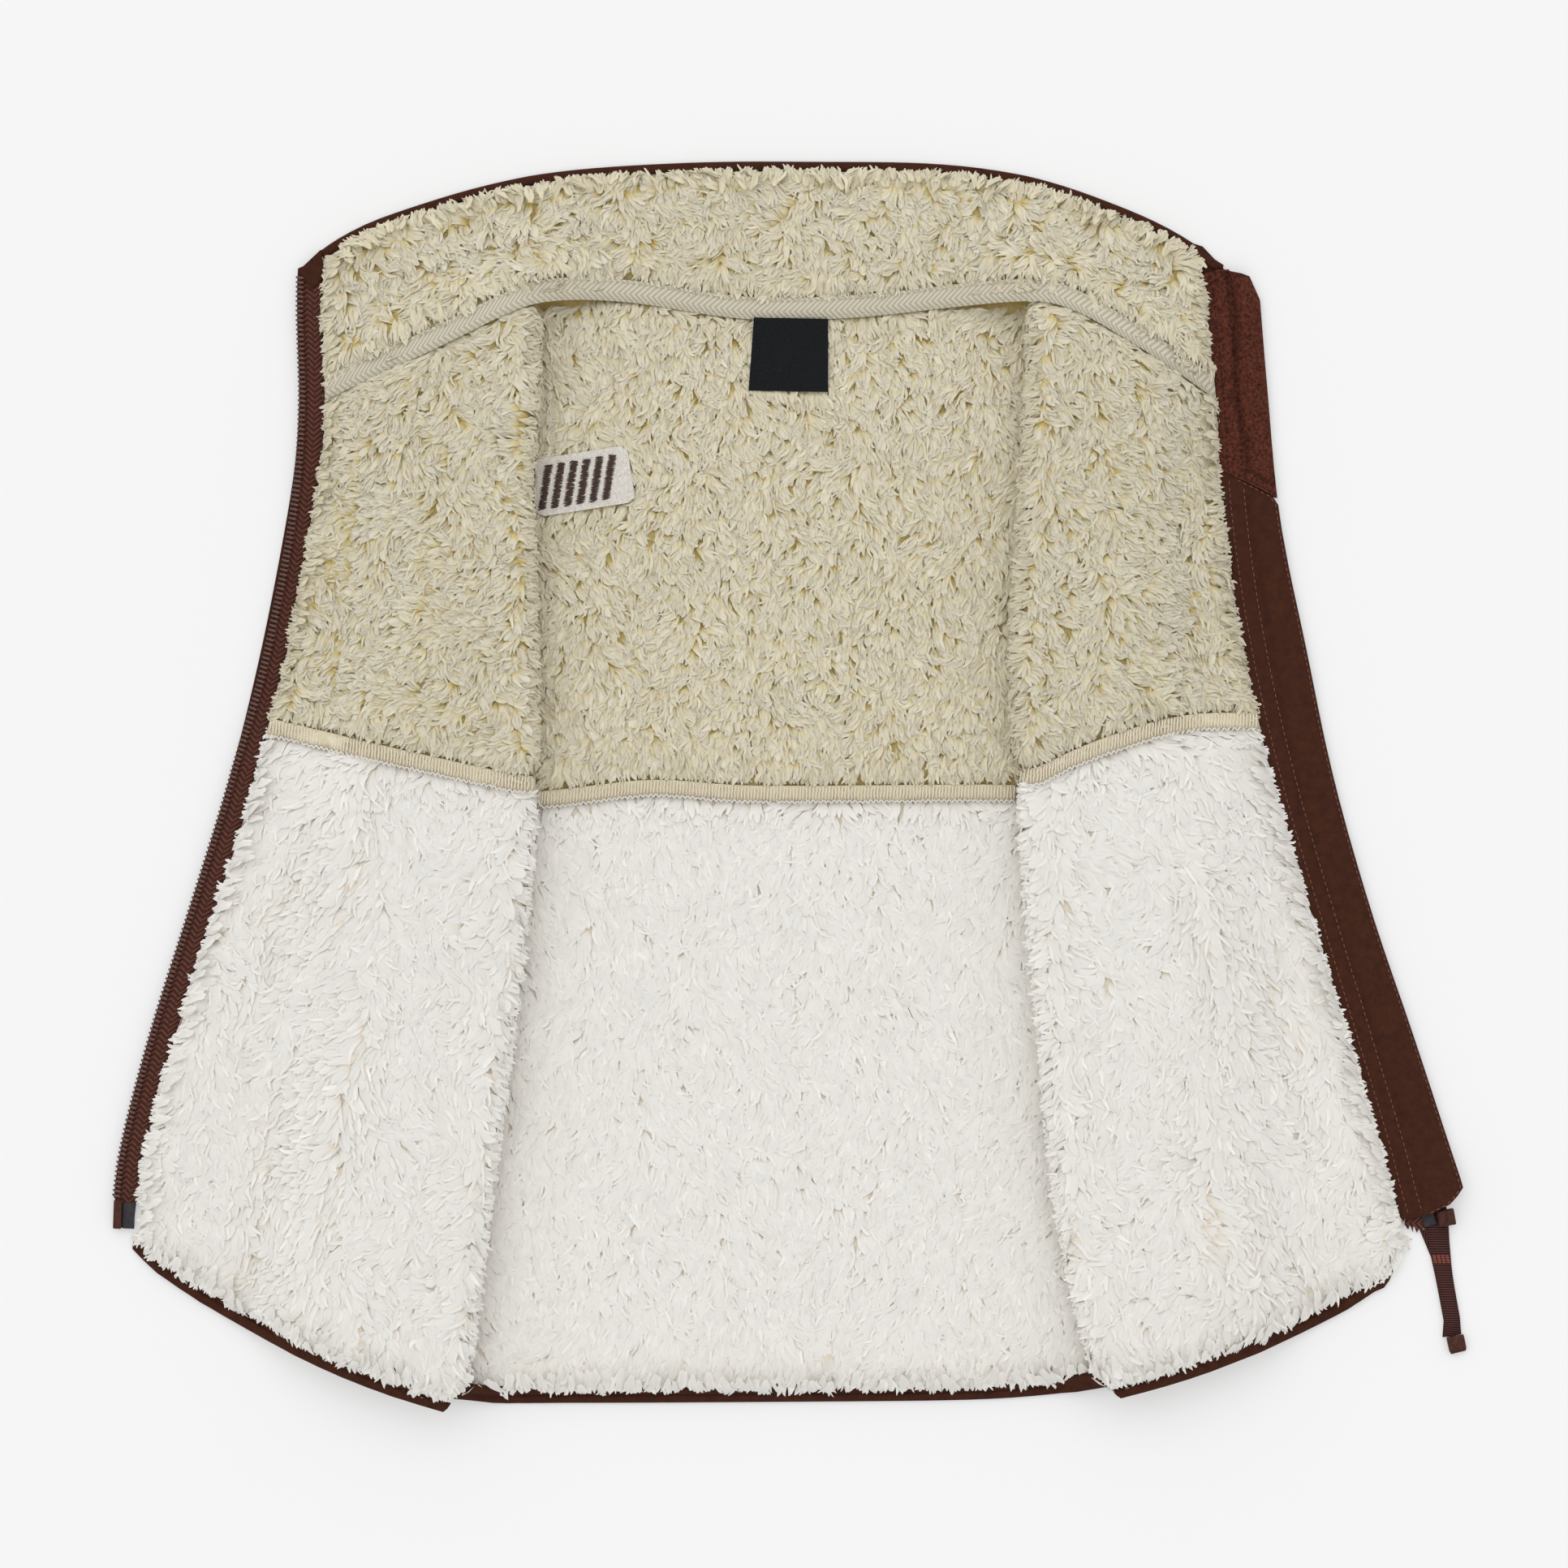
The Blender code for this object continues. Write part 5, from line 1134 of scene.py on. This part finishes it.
# ------------------------------------------------------------------ embroidery backing
# A white stitched backing on the inside of the back, 40 by 23 mm with rounded corners, half under
# the left fold. Plain slanting bars of dark satin stitch cross it.
PATCH_CENTRE = np.array([-82.5, 122.0])
PATCH_HALF = (20.0, 11.5)
PATCH_TURN = np.radians(9.0)
PATCH_CORNER = 3.0
BARS = 6
BAR_WIDTH = 3.4
BAR_THREAD = 0.62
spin = np.array([[np.cos(PATCH_TURN), -np.sin(PATCH_TURN)], [np.sin(PATCH_TURN), np.cos(PATCH_TURN)]])


def on_patch(x, y):
    return PATCH_CENTRE + spin @ np.array([x, y])


# Nonwoven backing under dense white stitching: matt, with a tangle of fibres.
BACKING, tree, shader = new_finish("stitched_backing_white", "E4DFD6", 0.85, Sheen_Weight=0.2)
tangle = add_node(tree, "TexNoise", {"Vector": add_node(tree, "TexCoord").outputs["Object"],
                                     "Scale": 1 / (0.7692 * MM), "Detail": 5.0, "Distortion": 1.5})
shade = add_node(tree, "ValToRGB", [tangle], stops=[(0.35, "C6BEB2"), (0.65, "ECE8E1")])
surfaced(tree, shader, shade.outputs["Color"], tangle, 0.3, 0.9)
SATIN = thread_finish("satin_thread_brown", "5B4640", "352824")

half_x, half_y = PATCH_HALF
corners = [on_patch(x * half_x, y * half_y) for x, y in ((-1, 1), (1, 1), (1, -1), (-1, -1))]
top, under = cloth_patch(corners, 15, 22, 7.3, 0.9, 0.4, radius=PATCH_CORNER)
patch = own(closed_sheet("embroidery_backing", top, under, BACKING), "embroidery_patch",
            slot="stitched_white")
rng = np.random.default_rng(5)
threads = []
for bar in range(BARS):
    centre_x = -half_x + 5.2 + bar * (2 * half_x - 9.0) / BARS
    for y in np.arange(-half_y + 3.0, half_y - 3.0, BAR_THREAD):
        x = centre_x + 0.32 * y
        slope = 0.5 if int(y * 10) % 2 else -0.4
        threads.append([on_patch(x + k * BAR_WIDTH + rng.normal(0, 0.15), y + slope * k + rng.normal(0, 0.1))
                        for k in (-0.5, -0.2, 0.2, 0.5)])
paths = draped(np.array(threads) * MM, [surface_of(patch)], 0.2)
paths[:, 1:3, 2] += 0.2 * MM
along_bar = np.tile([0.0, 1.0, 0.0], (len(paths), 1))
satin = threads_of("embroidery_bars", paths, 0.33, along_bar, SATIN, "stitched_white")
